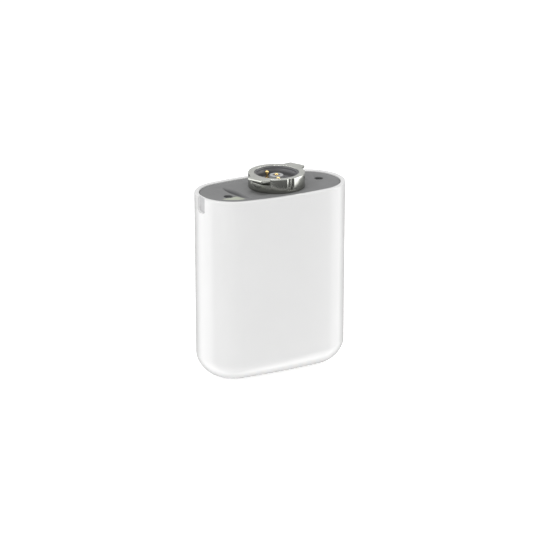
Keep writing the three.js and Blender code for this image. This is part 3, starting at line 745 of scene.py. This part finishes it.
def ring_columns():
    columns = keyway_columns()
    for turn in LUG_TURNS:
        columns += lug_columns(turn)
    taken = [(turn, LUG.half_angle) for turn in LUG_TURNS]
    taken.append((KEYWAY.angle, math.degrees(KEYWAY.reach / RING.outer)))
    for angle in np.arange(0, 360, 2.5):
        if all(abs((angle - middle + 180) % 360 - 180) > half + 0.6 for middle, half in taken):
            columns.append((angle, *[RING.outer] * 3))
    return sorted((angle % 360, *radii) for angle, *radii in columns)


def quarter(radius, height, rounding, start):
    """A rounded corner of a section, turning a quarter circle from the given direction."""
    return arc(radius, height, rounding, start, start + 90, 4)


def ring_section(side, under, top):
    """The ring's section at one angle, as (radius, height) points anticlockwise."""
    groove_top = RING.foot + O_RING.groove_height
    face_bottom = HEAD_TOP - RING.face_depth
    outer, foot, face = RING.outer, RING_ROUNDING.foot, RING_ROUNDING.face
    key_rounding = min(RING_ROUNDING.foot, (outer - side) / 2)
    ledge_rounding = min(RING_ROUNDING.ledge, (side - under) / 2)
    lug_rounding = min(RING_ROUNDING.lug, (top - under) / 2)
    top_rounding = RING_ROUNDING.top
    return [
        (RING.bore, SPIGOT_END),
        (RING.spigot, SPIGOT_END),
        (RING.spigot, groove_top),
        (O_RING.groove_outer, groove_top),
        (O_RING.groove_outer, RING.foot),
        *quarter(outer - foot, RING.foot + foot, foot, -90),
        *quarter(outer - key_rounding, KEYWAY.bottom - key_rounding, key_rounding, 0),
        (side, KEYWAY.bottom),
        *quarter(side - ledge_rounding, LEDGE - ledge_rounding, ledge_rounding, 0),
        (under, LEDGE),
        (under, LUG_BOTTOM),
        *quarter(top - lug_rounding, LUG_BOTTOM + lug_rounding, lug_rounding, -90),
        *quarter(top - top_rounding, HEAD_TOP - top_rounding, top_rounding, 0),
        *quarter(RING.face + face, HEAD_TOP - face, face, 90),
        (RING.face, face_bottom),
        *quarter(RING.bore + face, face_bottom - face, face, 90),
    ]


def build_bayonet_ring(material):
    sections = []
    for angle, *radii in ring_columns():
        turn = math.radians(angle)
        sections.append([(*around(*HEAD_AXIS, r, turn), z) for r, z in ring_section(*radii)])
    ring = looped("bayonet_ring_finished", sections)
    clean(ring.data, merge=True)
    dress(ring, material, "nickel", "bayonet_ring", sharp=35)


def build_ring_nut(material):
    corners = [
        (NUT.lip, NUT.bottom, 0),
        (NUT.outer, NUT.bottom, 0),
        (NUT.outer, NUT.top, 0),
        (NUT.bore, NUT.top, 0),
        (NUT.bore, NUT.bottom + NUT.lip_height, 0),
        (NUT.lip, NUT.bottom + NUT.lip_height, 0),
    ]
    nut = turned("ring_nut_finished", corners, HEAD_AXIS, 120)
    half = NUT_NOTCHES.width / 2
    inner, outer = NUT.outer - NUT_NOTCHES.depth, NUT.outer + 1
    notch = [(inner, -half), (outer, -half), (outer, half), (inner, half)]
    for i in range(NUT_NOTCHES.count):
        outline = placed(notch, HEAD_X, 0, 360 * i / NUT_NOTCHES.count)
        cut(nut, prism("notch", outline, NUT.bottom - 1, NUT.top + 1))
    soften(nut, 0.2)
    dress(nut, material, "steel", "ring_nut")


def contact_spots():
    spots = {"centre": HEAD_AXIS}
    for name, angle in CONTACT_ANGLES.items():
        spots[name] = around(*HEAD_AXIS, CONTACT_CIRCLE, math.radians(angle))
    return spots


def build_insulator_cup(material):
    corners = [
        (0, CUP.floor_bottom, 0),
        (SKIRT.inner, CUP.floor_bottom, 0.2),
        (SKIRT.inner, SKIRT.bottom, 0.15),
        (SKIRT.flange, SKIRT.bottom, 0.15),
        (SKIRT.flange, SKIRT.flange_top, 0.15),
        (CUP.outer, SKIRT.flange_top, 0),
        (CUP.outer, CUP_LIP.bottom, 0),
        (CUP_LIP.outer, CUP_LIP.bottom, 0.1),
        (CUP_LIP.outer, CUP_LIP.top, 0.12),
        (CUP_LIP.inner, CUP_LIP.top, 0.12),
        (CUP.inner, CUP_LIP.throat, 3.0),
        (CUP.inner, CUP.floor_top, 1.0),
        (0, CUP.floor_top, 0),
    ]
    cup = turned("insulator_cup_finished", corners, HEAD_AXIS, 128)
    for spot in contact_spots().values():
        radius = BARREL.outer + BARREL.fit
        cut(cup, drum("hole", radius, CUP.floor_bottom - 1, CUP.floor_top + 1, spot, 48))
    dress(cup, material, "insulator_dark", "insulator_cup")


def build_centre_collar(material):
    corners = [
        (COLLAR.bore, COLLAR.bottom, 0),
        (COLLAR.outer, COLLAR.bottom, 0.1),
        (COLLAR.outer, COLLAR.top, 0.4),
        (COLLAR.bore, COLLAR.top, 0.25),
    ]
    collar = turned("centre_collar_finished", corners, HEAD_AXIS, 72)
    dress(collar, material, "collar_grey", "centre_collar")


def build_barrel(name, spot, gold):
    flange = BARREL_FLANGE
    corners = [
        (0, BARREL.bottom, 0),
        (BARREL.outer, BARREL.bottom, 0.2),
        (BARREL.outer, flange.bottom, 0),
        (flange.radius, flange.bottom, 0.1),
        (flange.radius, flange.top, 0.1),
        (BARREL.outer, flange.top, 0),
        (BARREL.outer, BARREL.top, 0.1),
        (BARREL.bore, BARREL.top, 0.08),
        (BARREL.bore, BARREL.bore_bottom, 0.1),
        (0, BARREL.bore_bottom, 0),
    ]
    barrel = turned(f"contact_barrel_{name}_finished", corners, spot, 48)
    dress(barrel, gold, "gold_contact", f"contact_barrel_{name}")


def build_plunger(name, spot, gold):
    head, top, shaft = PLUNGER.head, PLUNGER.top, PLUNGER.shaft
    dome = np.linspace(0, QUARTER, 12, endpoint=False)
    corners = [
        (0, PLUNGER.tail_bottom, 0),
        (PLUNGER.tail, PLUNGER.tail_bottom, 0.1),
        (PLUNGER.tail, PLUNGER.tail_top, 0.1),
        (shaft, PLUNGER.tail_top, 0.05),
        (shaft, top - head - 0.5, 0.2),
        (head, top - head - 0.1, 0.1),
        *[(*around(0, top - head, head, t), 0) for t in dome],
        (0, top, 0),
    ]
    plunger = turned(f"contact_plunger_{name}_finished", corners, spot, 48)
    dress(plunger, gold, "gold_contact", f"contact_plunger_{name}", body=f"contact_{name}")


def build_spring(name, spot, steel):
    wire, turns = SPRING.wire, SPRING.turns
    height = SPRING.top - SPRING.bottom - 2 * wire
    path = [
        (*around(*spot, SPRING.radius, TAU * turns * t), SPRING.bottom + wire + height * t)
        for t in np.linspace(0, 1, turns * 24 + 1)
    ]
    coil = swept(f"contact_spring_{name}_finished", path, wire, 10)
    dress(coil, steel, "steel", f"contact_spring_{name}")
    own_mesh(coil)


# ---- Materials ----

WHITE = (1, 1, 1)


def new_material(name, metallic=0.0, specular=0.5):
    material = bpy.data.materials.new(name)
    material.use_nodes = True
    shader = material.node_tree.nodes["Principled BSDF"]
    shader.inputs["Metallic"].default_value = metallic
    shader.inputs["Specular IOR Level"].default_value = specular
    return material, material.node_tree, shader


def feed(socket, value):
    """Links a node's socket to another's, or gives it a plain value."""
    if isinstance(value, bpy.types.NodeSocket):
        socket.id_data.links.new(value, socket)
    else:
        socket.default_value = value


def add(tree, kind, **settings):
    """A new node, with its inputs and its own settings by name."""
    node = tree.nodes.new(kind)
    for key, value in settings.items():
        if key in node.inputs:
            feed(node.inputs[key], value)
        else:
            setattr(node, key, value)
    return node


def object_place(tree):
    return add(tree, "ShaderNodeTexCoord").outputs["Object"]


def noise(tree, grain, detail=3.0, place=None):
    """Noise whose features are about the given number of millimetres across."""
    place, scale = place or object_place(tree), 1 / (grain * MM)
    node = add(tree, "ShaderNodeTexNoise", Vector=place, Scale=scale, Detail=detail)
    return node.outputs["Fac"]


def spread(value, low, high, start=0.3, stop=0.7):
    """Maps the middle of a noise onto a range."""
    limits = {"From Min": start, "From Max": stop, "To Min": low, "To Max": high}
    return add(value.id_data, "ShaderNodeMapRange", Value=value, **limits).outputs["Result"]


def tone(value, dark, light, start=0.3, stop=0.7):
    ramp = add(value.id_data, "ShaderNodeValToRGB", Fac=value)
    ends = zip(ramp.color_ramp.elements, (start, stop), (dark, light))
    for element, position, colour in ends:
        element.position = position
        element.color = (*colour, 1)
    return ramp.outputs["Color"]


def calculated(operation, *values, kind="ShaderNodeMath", output="Value"):
    """A math node fed by a socket, and then by sockets or plain values."""
    node = add(values[0].id_data, kind, operation=operation)
    for socket, value in zip(node.inputs, values):
        feed(socket, value)
    return node.outputs[output]


def vectored(operation, *values, output="Vector"):
    return calculated(operation, *values, kind="ShaderNodeVectorMath", output=output)


def product(first, *others):
    for other in others:
        first = calculated("MULTIPLY", first, other)
    return first


def separated(vector):
    """The X, Y and Z of a vector."""
    parts = add(vector.id_data, "ShaderNodeSeparateXYZ", Vector=vector)
    return [parts.outputs[axis] for axis in "XYZ"]


def combined(*values):
    parts = dict(zip("XYZ", values))
    return add(values[0].id_data, "ShaderNodeCombineXYZ", **parts).outputs["Vector"]


def height_tone(tree, dark, light, low, high):
    """A tone that runs from dark to light between two heights on the pack, in millimetres."""
    height = separated(object_place(tree))[2]
    return tone(spread(height, 0, 1, low * MM, high * MM), dark, light, 0, 1)


def tinted(colour, tint):
    return vectored("MULTIPLY", colour, tint)


def bump(height, depth, normal=None):
    """Bump from a height of 0 to 1, with its real depth in millimetres."""
    settings = {"Height": height, "Strength": 1.0, "Distance": depth * MM}
    node = add(height.id_data, "ShaderNodeBump", **settings)
    if normal is not None:
        feed(node.inputs["Normal"], normal)
    return node.outputs["Normal"]


def surfaced(made, colour, rough, normal):
    """Links the colour, roughness and normal of a new material."""
    material, _, shader = made
    for name, value in (("Base Color", colour), ("Roughness", rough), ("Normal", normal)):
        feed(shader.inputs[name], value)
    return material


def grained(name, dark, light, rough, grains, depth, detail=3, metallic=0.0, specular=0.5):
    """A surface whose colour, gloss and height vary, each with its own grain."""
    made = new_material(name, metallic, specular)
    tree = made[1]
    patches, gloss, fine = grains
    colour = tone(noise(tree, patches), dark, light)
    roughness = spread(noise(tree, gloss), *rough)
    return surfaced(made, colour, roughness, bump(noise(tree, fine, detail), depth))


def plain_surface(name, colour, rough, grain, depth, metallic=0.0, vary=0.06, specular=0.5):
    """Colour and gloss that vary a little, over a fine grain."""
    dark = [c * (1 - vary) for c in colour]
    light = [min(c * (1 + vary), 1) for c in colour]
    limits = (rough * 0.88, min(rough * 1.12, 1))
    grains = (grain * 14, grain * 5, grain)
    return grained(name, dark, light, limits, grains, depth, 4, metallic, specular)


def painted_groove_shade(tree):
    """Painted shade: a soft grey on the key groove's floor, where shade falls."""
    x, y, z = separated(object_place(tree))
    floor, reach = GROOVE_FLOOR, GROOVE.half_width - 0.25
    shade = product(
        spread(x, 0, 1, (floor - 0.3) * MM, (floor - 0.05) * MM),
        calculated("COMPARE", y, GROOVE.y * MM, reach * MM),
        calculated("LESS_THAN", x, (floor + 0.05) * MM),
        calculated("GREATER_THAN", z, GROOVE_FOOT * MM),
    )
    return tone(shade, WHITE, GROOVE_PAINTED_SHADE, 0, 1)


def shell_material():
    """Glossy white moulded shell with the faintest orange peel, and painted shade down in the key
    groove.
    """
    made = new_material("gloss_white")
    tree = made[1]
    face = tone(noise(tree, 30), (0.77, 0.77, 0.768), (0.785, 0.785, 0.783))
    rough = spread(noise(tree, 6), 0.2, 0.25)
    peel = bump(noise(tree, 2.6, 1.0), 0.0016)
    normal = bump(noise(tree, 0.5, 2.0), 0.0005, peel)
    # Painted shade darkens the key groove's floor.
    return surfaced(made, tinted(face, painted_groove_shade(tree)), rough, normal)


def plate_material():
    """Matt grey moulding with a spark-eroded grain, and painted shade that darkens it down in its
    recesses.
    """
    made = new_material("matt_grey", specular=0.35)
    tree = made[1]
    grain = noise(tree, 0.22, 4.0)
    face = tone(noise(tree, 9), (0.19, 0.191, 0.193), (0.212, 0.213, 0.215))
    # Painted shade: darker with depth below the plate's top, in the scoop and the recesses.
    recess = height_tone(tree, (0.36, 0.36, 0.37), WHITE, PLATE_TOP - 0.9, PLATE_TOP - 0.1)
    rough = spread(grain, 0.52, 0.66)
    return surfaced(made, tinted(face, recess), rough, bump(grain, 0.012))


def head_place(tree):
    """The X, Y and Z from the head's axis, and the distance from that axis."""
    shifted = vectored("SUBTRACT", object_place(tree), (HEAD_X * MM, 0, 0))
    x, y, z = separated(shifted)
    return x, y, z, vectored("LENGTH", combined(x, y), output="Value")


def painted_undercut_shade(tree):
    """Painted shade: a dark tint inside the undercut below each lug, where shade falls."""
    x, _, z, radius = head_place(tree)
    beside = calculated("ABSOLUTE", x)
    dark = product(
        calculated("LESS_THAN", radius, (RING.outer - 0.05) * MM),
        calculated("GREATER_THAN", beside, UNDERCUT.radius / 2 * MM),
        calculated("LESS_THAN", z, (LUG_BOTTOM + 0.1) * MM),
        height_tone(tree, (0, 0, 0), WHITE, LEDGE - 0.15, LEDGE - 0.03),
    )
    return tone(dark, WHITE, (0.22, 0.22, 0.21), 0, 1)


def turned_place(tree, stretch):
    """Coordinates that run across a turned surface, and slowly round its axis."""
    x, y, z, radius = head_place(tree)
    slow = [calculated("MULTIPLY", side, stretch) for side in (x, y)]
    return combined(*slow, calculated("ADD", radius, z))


def nickel_material():
    """Satin nickel plate, turned round the head's axis, with painted shade that darkens it
    towards the foot and in the undercuts.
    """
    made = new_material("satin_nickel", metallic=1.0)
    tree = made[1]
    marks = noise(tree, 0.09, 3.0, turned_place(tree, 0.02))
    plating = tone(noise(tree, 5), (0.6, 0.61, 0.565), (0.68, 0.69, 0.645))
    # Painted shade: darker towards the ring's foot.
    painted_foot_shade = height_tone(tree, (0.4, 0.4, 0.39), WHITE, 97.5, 102.2)
    # Painted shade darkens the undercuts below the lugs.
    shaded = tinted(tinted(plating, painted_foot_shade), painted_undercut_shade(tree))
    return surfaced(made, shaded, spread(marks, 0.17, 0.24), bump(marks, 0.00015))


def gold_material():
    """Gold plating on the contacts, with paler, slightly worn patches."""
    tones = (0.79, 0.55, 0.2), (0.88, 0.69, 0.36)
    return grained("gold_plate", *tones, (0.16, 0.26), (0.8, 0.3, 0.08), 0.0008, metallic=1.0)


def cell_material():
    """Green shrink sleeve, faintly uneven over the can."""
    tones = (0.035, 0.2, 0.15), (0.05, 0.26, 0.2)
    return grained("cell_sleeve", *tones, (0.28, 0.4), (12, 4, 3), 0.02, 2)


def board_material():
    """Solder mask over copper tracks that show as slightly raised, paler lanes."""
    made = new_material("board_green")
    tree = made[1]
    lanes = {"Vector": object_place(tree), "Scale": 1 / (9 * MM), "Mortar Size": 0.035}
    lane = add(tree, "ShaderNodeTexBrick", **lanes).outputs["Fac"]
    colour = tone(lane, (0.012, 0.1, 0.04), (0.03, 0.19, 0.07), 0.4, 0.6)
    return surfaced(made, colour, spread(noise(tree, 2), 0.3, 0.42), bump(lane, 0.03))


# Name, colour, roughness, grain and relief in millimetres, then what differs from the usual.
PLAIN_SURFACES = {
    "steel": ("zinc_steel", (0.5, 0.51, 0.52), 0.34, 0.25, 0.002, {"metallic": 1.0}),
    "insulator": ("insulator_grey", (0.13, 0.13, 0.135), 0.42, 0.35, 0.001, {"specular": 0.4}),
    "collar": ("collar_grey", (0.42, 0.425, 0.43), 0.42, 0.3, 0.004, {}),
    "rubber": ("seal_rubber", (0.02, 0.02, 0.02), 0.7, 0.3, 0.01, {"vary": 0.2}),
    "label": ("label_paper", (0.43, 0.455, 0.375), 0.55, 0.12, 0.004, {}),
    "holder": ("holder_black", (0.022, 0.022, 0.024), 0.5, 0.3, 0.008, {"vary": 0.15}),
    "chip": ("moulded_black", (0.015, 0.015, 0.016), 0.45, 0.15, 0.006, {"vary": 0.15}),
    "ceramic": ("ceramic_body", (0.7, 0.66, 0.57), 0.4, 0.3, 0.004, {}),
    "foam": ("foam_grey", (0.15, 0.15, 0.15), 0.95, 0.5, 0.16, {"vary": 0.25}),
    "red": ("lead_red", (0.42, 0.02, 0.015), 0.42, 0.4, 0.004, {}),
    "black": ("lead_black", (0.015, 0.015, 0.015), 0.42, 0.4, 0.004, {"vary": 0.2}),
    "yellow": ("lead_yellow", (0.6, 0.42, 0.03), 0.42, 0.4, 0.004, {}),
}


def all_materials():
    materials = {
        "shell": shell_material(),
        "plate": plate_material(),
        "nickel": nickel_material(),
        "gold": gold_material(),
        "cell": cell_material(),
        "board": board_material(),
    }
    for key, (*values, others) in PLAIN_SURFACES.items():
        materials[key] = plain_surface(*values, **others)
    return materials


# ---- Inside the housing ----

def build_cell(name, material):
    """A cell with a rolled groove near one end and a raised cap on it."""
    low, high = node_box(name)
    spot = ((low.x + high.x) / 2, (low.y + high.y) / 2)
    cap_up = int(name[-1]) % 2 == 1
    radius, edge = CELL.radius, CELL.edge
    height = high.z - low.z
    shoulder = height - CELL.cap_height
    corners = [
        (0, 0, 0),
        (radius, 0, edge),
        (radius, shoulder - 3.4, 0.4),
        (radius - 0.45, shoulder - 2.8, 0.4),
        (radius, shoulder - 2.2, 0.4),
        (radius, shoulder, edge),
        (CELL.cap + 1.6, shoulder, 0.1),
        (CELL.cap + 1.4, shoulder - 0.4, 0.1),
        (CELL.cap + 0.1, shoulder - 0.4, 0.1),
        (CELL.cap, height, 0.25),
        (0, height, 0),
    ]
    if not cap_up:
        corners = [(r, height - z, rounding) for r, z, rounding in corners]
    corners = [(r, low.z + z, rounding) for r, z, rounding in corners]
    cell = turned(f"{name}_finished", corners, spot, 96)
    dress(cell, material, "cell_can", name)


CARRIED_NODES = {
    "board": ("contact_board", "control_board"),
    "holder": ("lower_cell_holder", "upper_cell_holder"),
    "foam": ("foam_pad",),
    "steel": (
        *(f"link_strip_{end}_{i}" for end in ("low", "high") for i in (1, 2)),
        *("end_tab_low", "end_tab_high", "current_shunt", "capacitor"),
    ),
    "chip": ("control_chip", "power_transistor_1", "power_transistor_2", "thermistor"),
    "ceramic": ("fuse",),
    "black": ("return_lead", "head_lead_return"),
    "red": ("head_lead_power",),
    "yellow": ("head_lead_signal",),
}


def finish_carried_nodes(materials):
    """Gives the CAD pieces that stay their materials and small rounded edges."""
    for finish, names in CARRIED_NODES.items():
        for name in names:
            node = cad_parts[name]
            node.data.materials.clear()
            node.data.materials.append(materials[finish])
            round_edges(node, 0.08, 2, 40)


# ---- Studio: distances of the view and the lights are in metres ----

AIM = Vector((0, 0, 48.15)) * MM
AIM_RIGHT = -0.18 * MM
AIM_UP = 3.25 * MM
VIEW_TURN = math.radians(-27.35)
VIEW_RISE = math.radians(19.29)
VIEW_DISTANCE = 1.115
LENS = 146.7
SENSOR_WIDTH = 36

# The floor's half width and its height are in millimetres.
FLOOR_HALF = 2500
FLOOR_HEIGHT = -0.2
FLOOR_GLOW = 0.4
ROOM_LIGHT = 0.585
BACKDROP_LIGHT = 1.05
# Name, bearing from the camera and rise in degrees, width and height in metres, power in watts.
SOFT_LIGHTS = (
    ("key_light", -48, 36, 0.22, 0.22, 1.8),
    ("right_fill", 100, 15, 0.3, 0.6, 1.3),
    ("overhead", -48, 86, 0.35, 0.35, 3.1),
)
LIGHT_TARGET = Vector((0, 0, 0.05))
LIGHT_DISTANCE = 1.0
# What shiny surfaces see round the room: (bearing from the camera in degrees, brightness).
ROOM_REFLECTION = (
    *((-180, 0.25), (-134, 0.25), (-114, 2.8), (-72, 2.6), (-62, 0.3), (-20, 0.2)),
    *((50, 0.2), (68, 0.4), (78, 2.9), (116, 2.9), (134, 0.3), (180, 0.25)),
)
CEILING_REFLECTION = 0.84


def outwards(turn, rise):
    """The direction at a bearing and a rise, in radians; at (0, 0) it is the pack's front."""
    level = math.cos(rise)
    return Vector((math.sin(turn) * level, -math.cos(turn) * level, math.sin(rise)))


def build_camera():
    back = outwards(VIEW_TURN, VIEW_RISE)
    right = Vector((0, 0, 1)).cross(back).normalized()
    up = back.cross(right)
    data = bpy.data.cameras.new("camera")
    data.lens = LENS
    data.sensor_width = SENSOR_WIDTH
    data.clip_start = 0.01
    data.clip_end = 20
    camera = linked("camera", data)
    turn = Matrix((right, up, back)).transposed().to_4x4()
    target = AIM + right * AIM_RIGHT + up * AIM_UP
    camera.matrix_world = Matrix.Translation(target + back * VIEW_DISTANCE) @ turn
    bpy.context.scene.camera = camera


def build_floor():
    half, z = FLOOR_HALF, FLOOR_HEIGHT
    corners = [(-half, -half, z), (half, -half, z), (half, half, z), (-half, half, z)]
    floor = make_object("floor", corners, [(0, 1, 2, 3)])
    material, tree, shader = new_material("pale_floor", specular=0.1)
    settings = {
        "Base Color": tone(noise(tree, 200), (0.93, 0.93, 0.93), (0.95, 0.95, 0.95)),
        "Roughness": 0.8,
        "Emission Color": (*WHITE, 1),
        "Emission Strength": FLOOR_GLOW,
    }
    for name, value in settings.items():
        feed(shader.inputs[name], value)
    floor.data.materials.append(material)
    floor.visible_glossy = False


def soft_light(name, turn, rise, width, height, power):
    """An area light that faces the pack, from a bearing in degrees from the camera."""
    away = outwards(VIEW_TURN + math.radians(turn), math.radians(rise))
    data = bpy.data.lights.new(name, "AREA")
    data.shape = "RECTANGLE"
    data.size = width
    data.size_y = height
    data.energy = power
    light = linked(name, data)
    light.location = LIGHT_TARGET + away * LIGHT_DISTANCE
    light.rotation_euler = away.to_track_quat("Z", "Y").to_euler()
    light.visible_camera = False


def room_reflection(tree):
    """Soft boxes and dark gaps round the room, by bearing, under a pale ceiling."""
    direction = add(tree, "ShaderNodeTexCoord").outputs["Generated"]
    ahead = (math.sin(VIEW_TURN), -math.cos(VIEW_TURN), 0)
    aside = (math.cos(VIEW_TURN), math.sin(VIEW_TURN), 0)
    sides = [vectored("DOT_PRODUCT", direction, axis, output="Value") for axis in (aside, ahead)]
    share = spread(calculated("ARCTAN2", *sides), 0, 1, -math.pi, math.pi)
    ramp = add(tree, "ShaderNodeValToRGB", Fac=share)
    stops = ramp.color_ramp.elements
    while len(stops) < len(ROOM_REFLECTION):
        stops.new(0.5)
    brightest = max(level for _, level in ROOM_REFLECTION)
    for stop, (degrees, level) in zip(stops, ROOM_REFLECTION):
        stop.position = (degrees + 180) / 360
        stop.color = (level / brightest,) * 3 + (1,)
    walls = calculated("MULTIPLY", ramp.outputs["Color"], brightest)
    height = separated(direction)[2]
    ceiling = spread(height, 0, CEILING_REFLECTION, 0, 0.15)
    level = calculated("MAXIMUM", walls, ceiling)
    return add(tree, "ShaderNodeBackground", Strength=level)


def mixed(share, first, second):
    """Shows the first background where the share is 0 and the second where it is 1."""
    node = add(share.id_data, "ShaderNodeMixShader")
    for socket, value in zip(node.inputs, (share, first.outputs[0], second.outputs[0])):
        feed(socket, value)
    return node


def build_studio():
    scene = bpy.context.scene
    scene.view_settings.view_transform = "Standard"
    scene.view_settings.look = "None"
    world = bpy.data.worlds.new("studio")
    world.use_nodes = True
    scene.world = world
    tree = world.node_tree
    light, white = tree.nodes["Background"], add(tree, "ShaderNodeBackground")
    for node, strength in ((light, ROOM_LIGHT), (white, BACKDROP_LIGHT)):
        node.inputs["Color"].default_value = (*WHITE, 1)
        node.inputs["Strength"].default_value = strength
    path = add(tree, "ShaderNodeLightPath").outputs
    shiny = mixed(path["Is Glossy Ray"], light, room_reflection(tree))
    backdrop = mixed(path["Is Camera Ray"], shiny, white)
    tree.links.new(backdrop.outputs[0], tree.nodes["World Output"].inputs["Surface"])
    for settings in SOFT_LIGHTS:
        soft_light(*settings)


# ---- The whole pack ----

def build_pack():
    materials = all_materials()
    build_housing(materials["shell"])
    build_top_plate(materials["plate"])
    build_plate_seal(materials["rubber"])
    build_label(materials["label"])
    build_screws(materials["steel"])
    build_bayonet_ring(materials["nickel"])
    build_ring_seal(materials["rubber"])
    build_ring_nut(materials["steel"])
    build_insulator_cup(materials["insulator"])
    build_centre_collar(materials["collar"])
    for name, spot in contact_spots().items():
        build_barrel(name, spot, materials["gold"])
        build_plunger(name, spot, materials["gold"])
        build_spring(name, spot, materials["steel"])
    for i in range(1, 6):
        build_cell(f"cell_{i}", materials["cell"])
    finish_carried_nodes(materials)


build_camera()
build_floor()
build_studio()
build_pack()
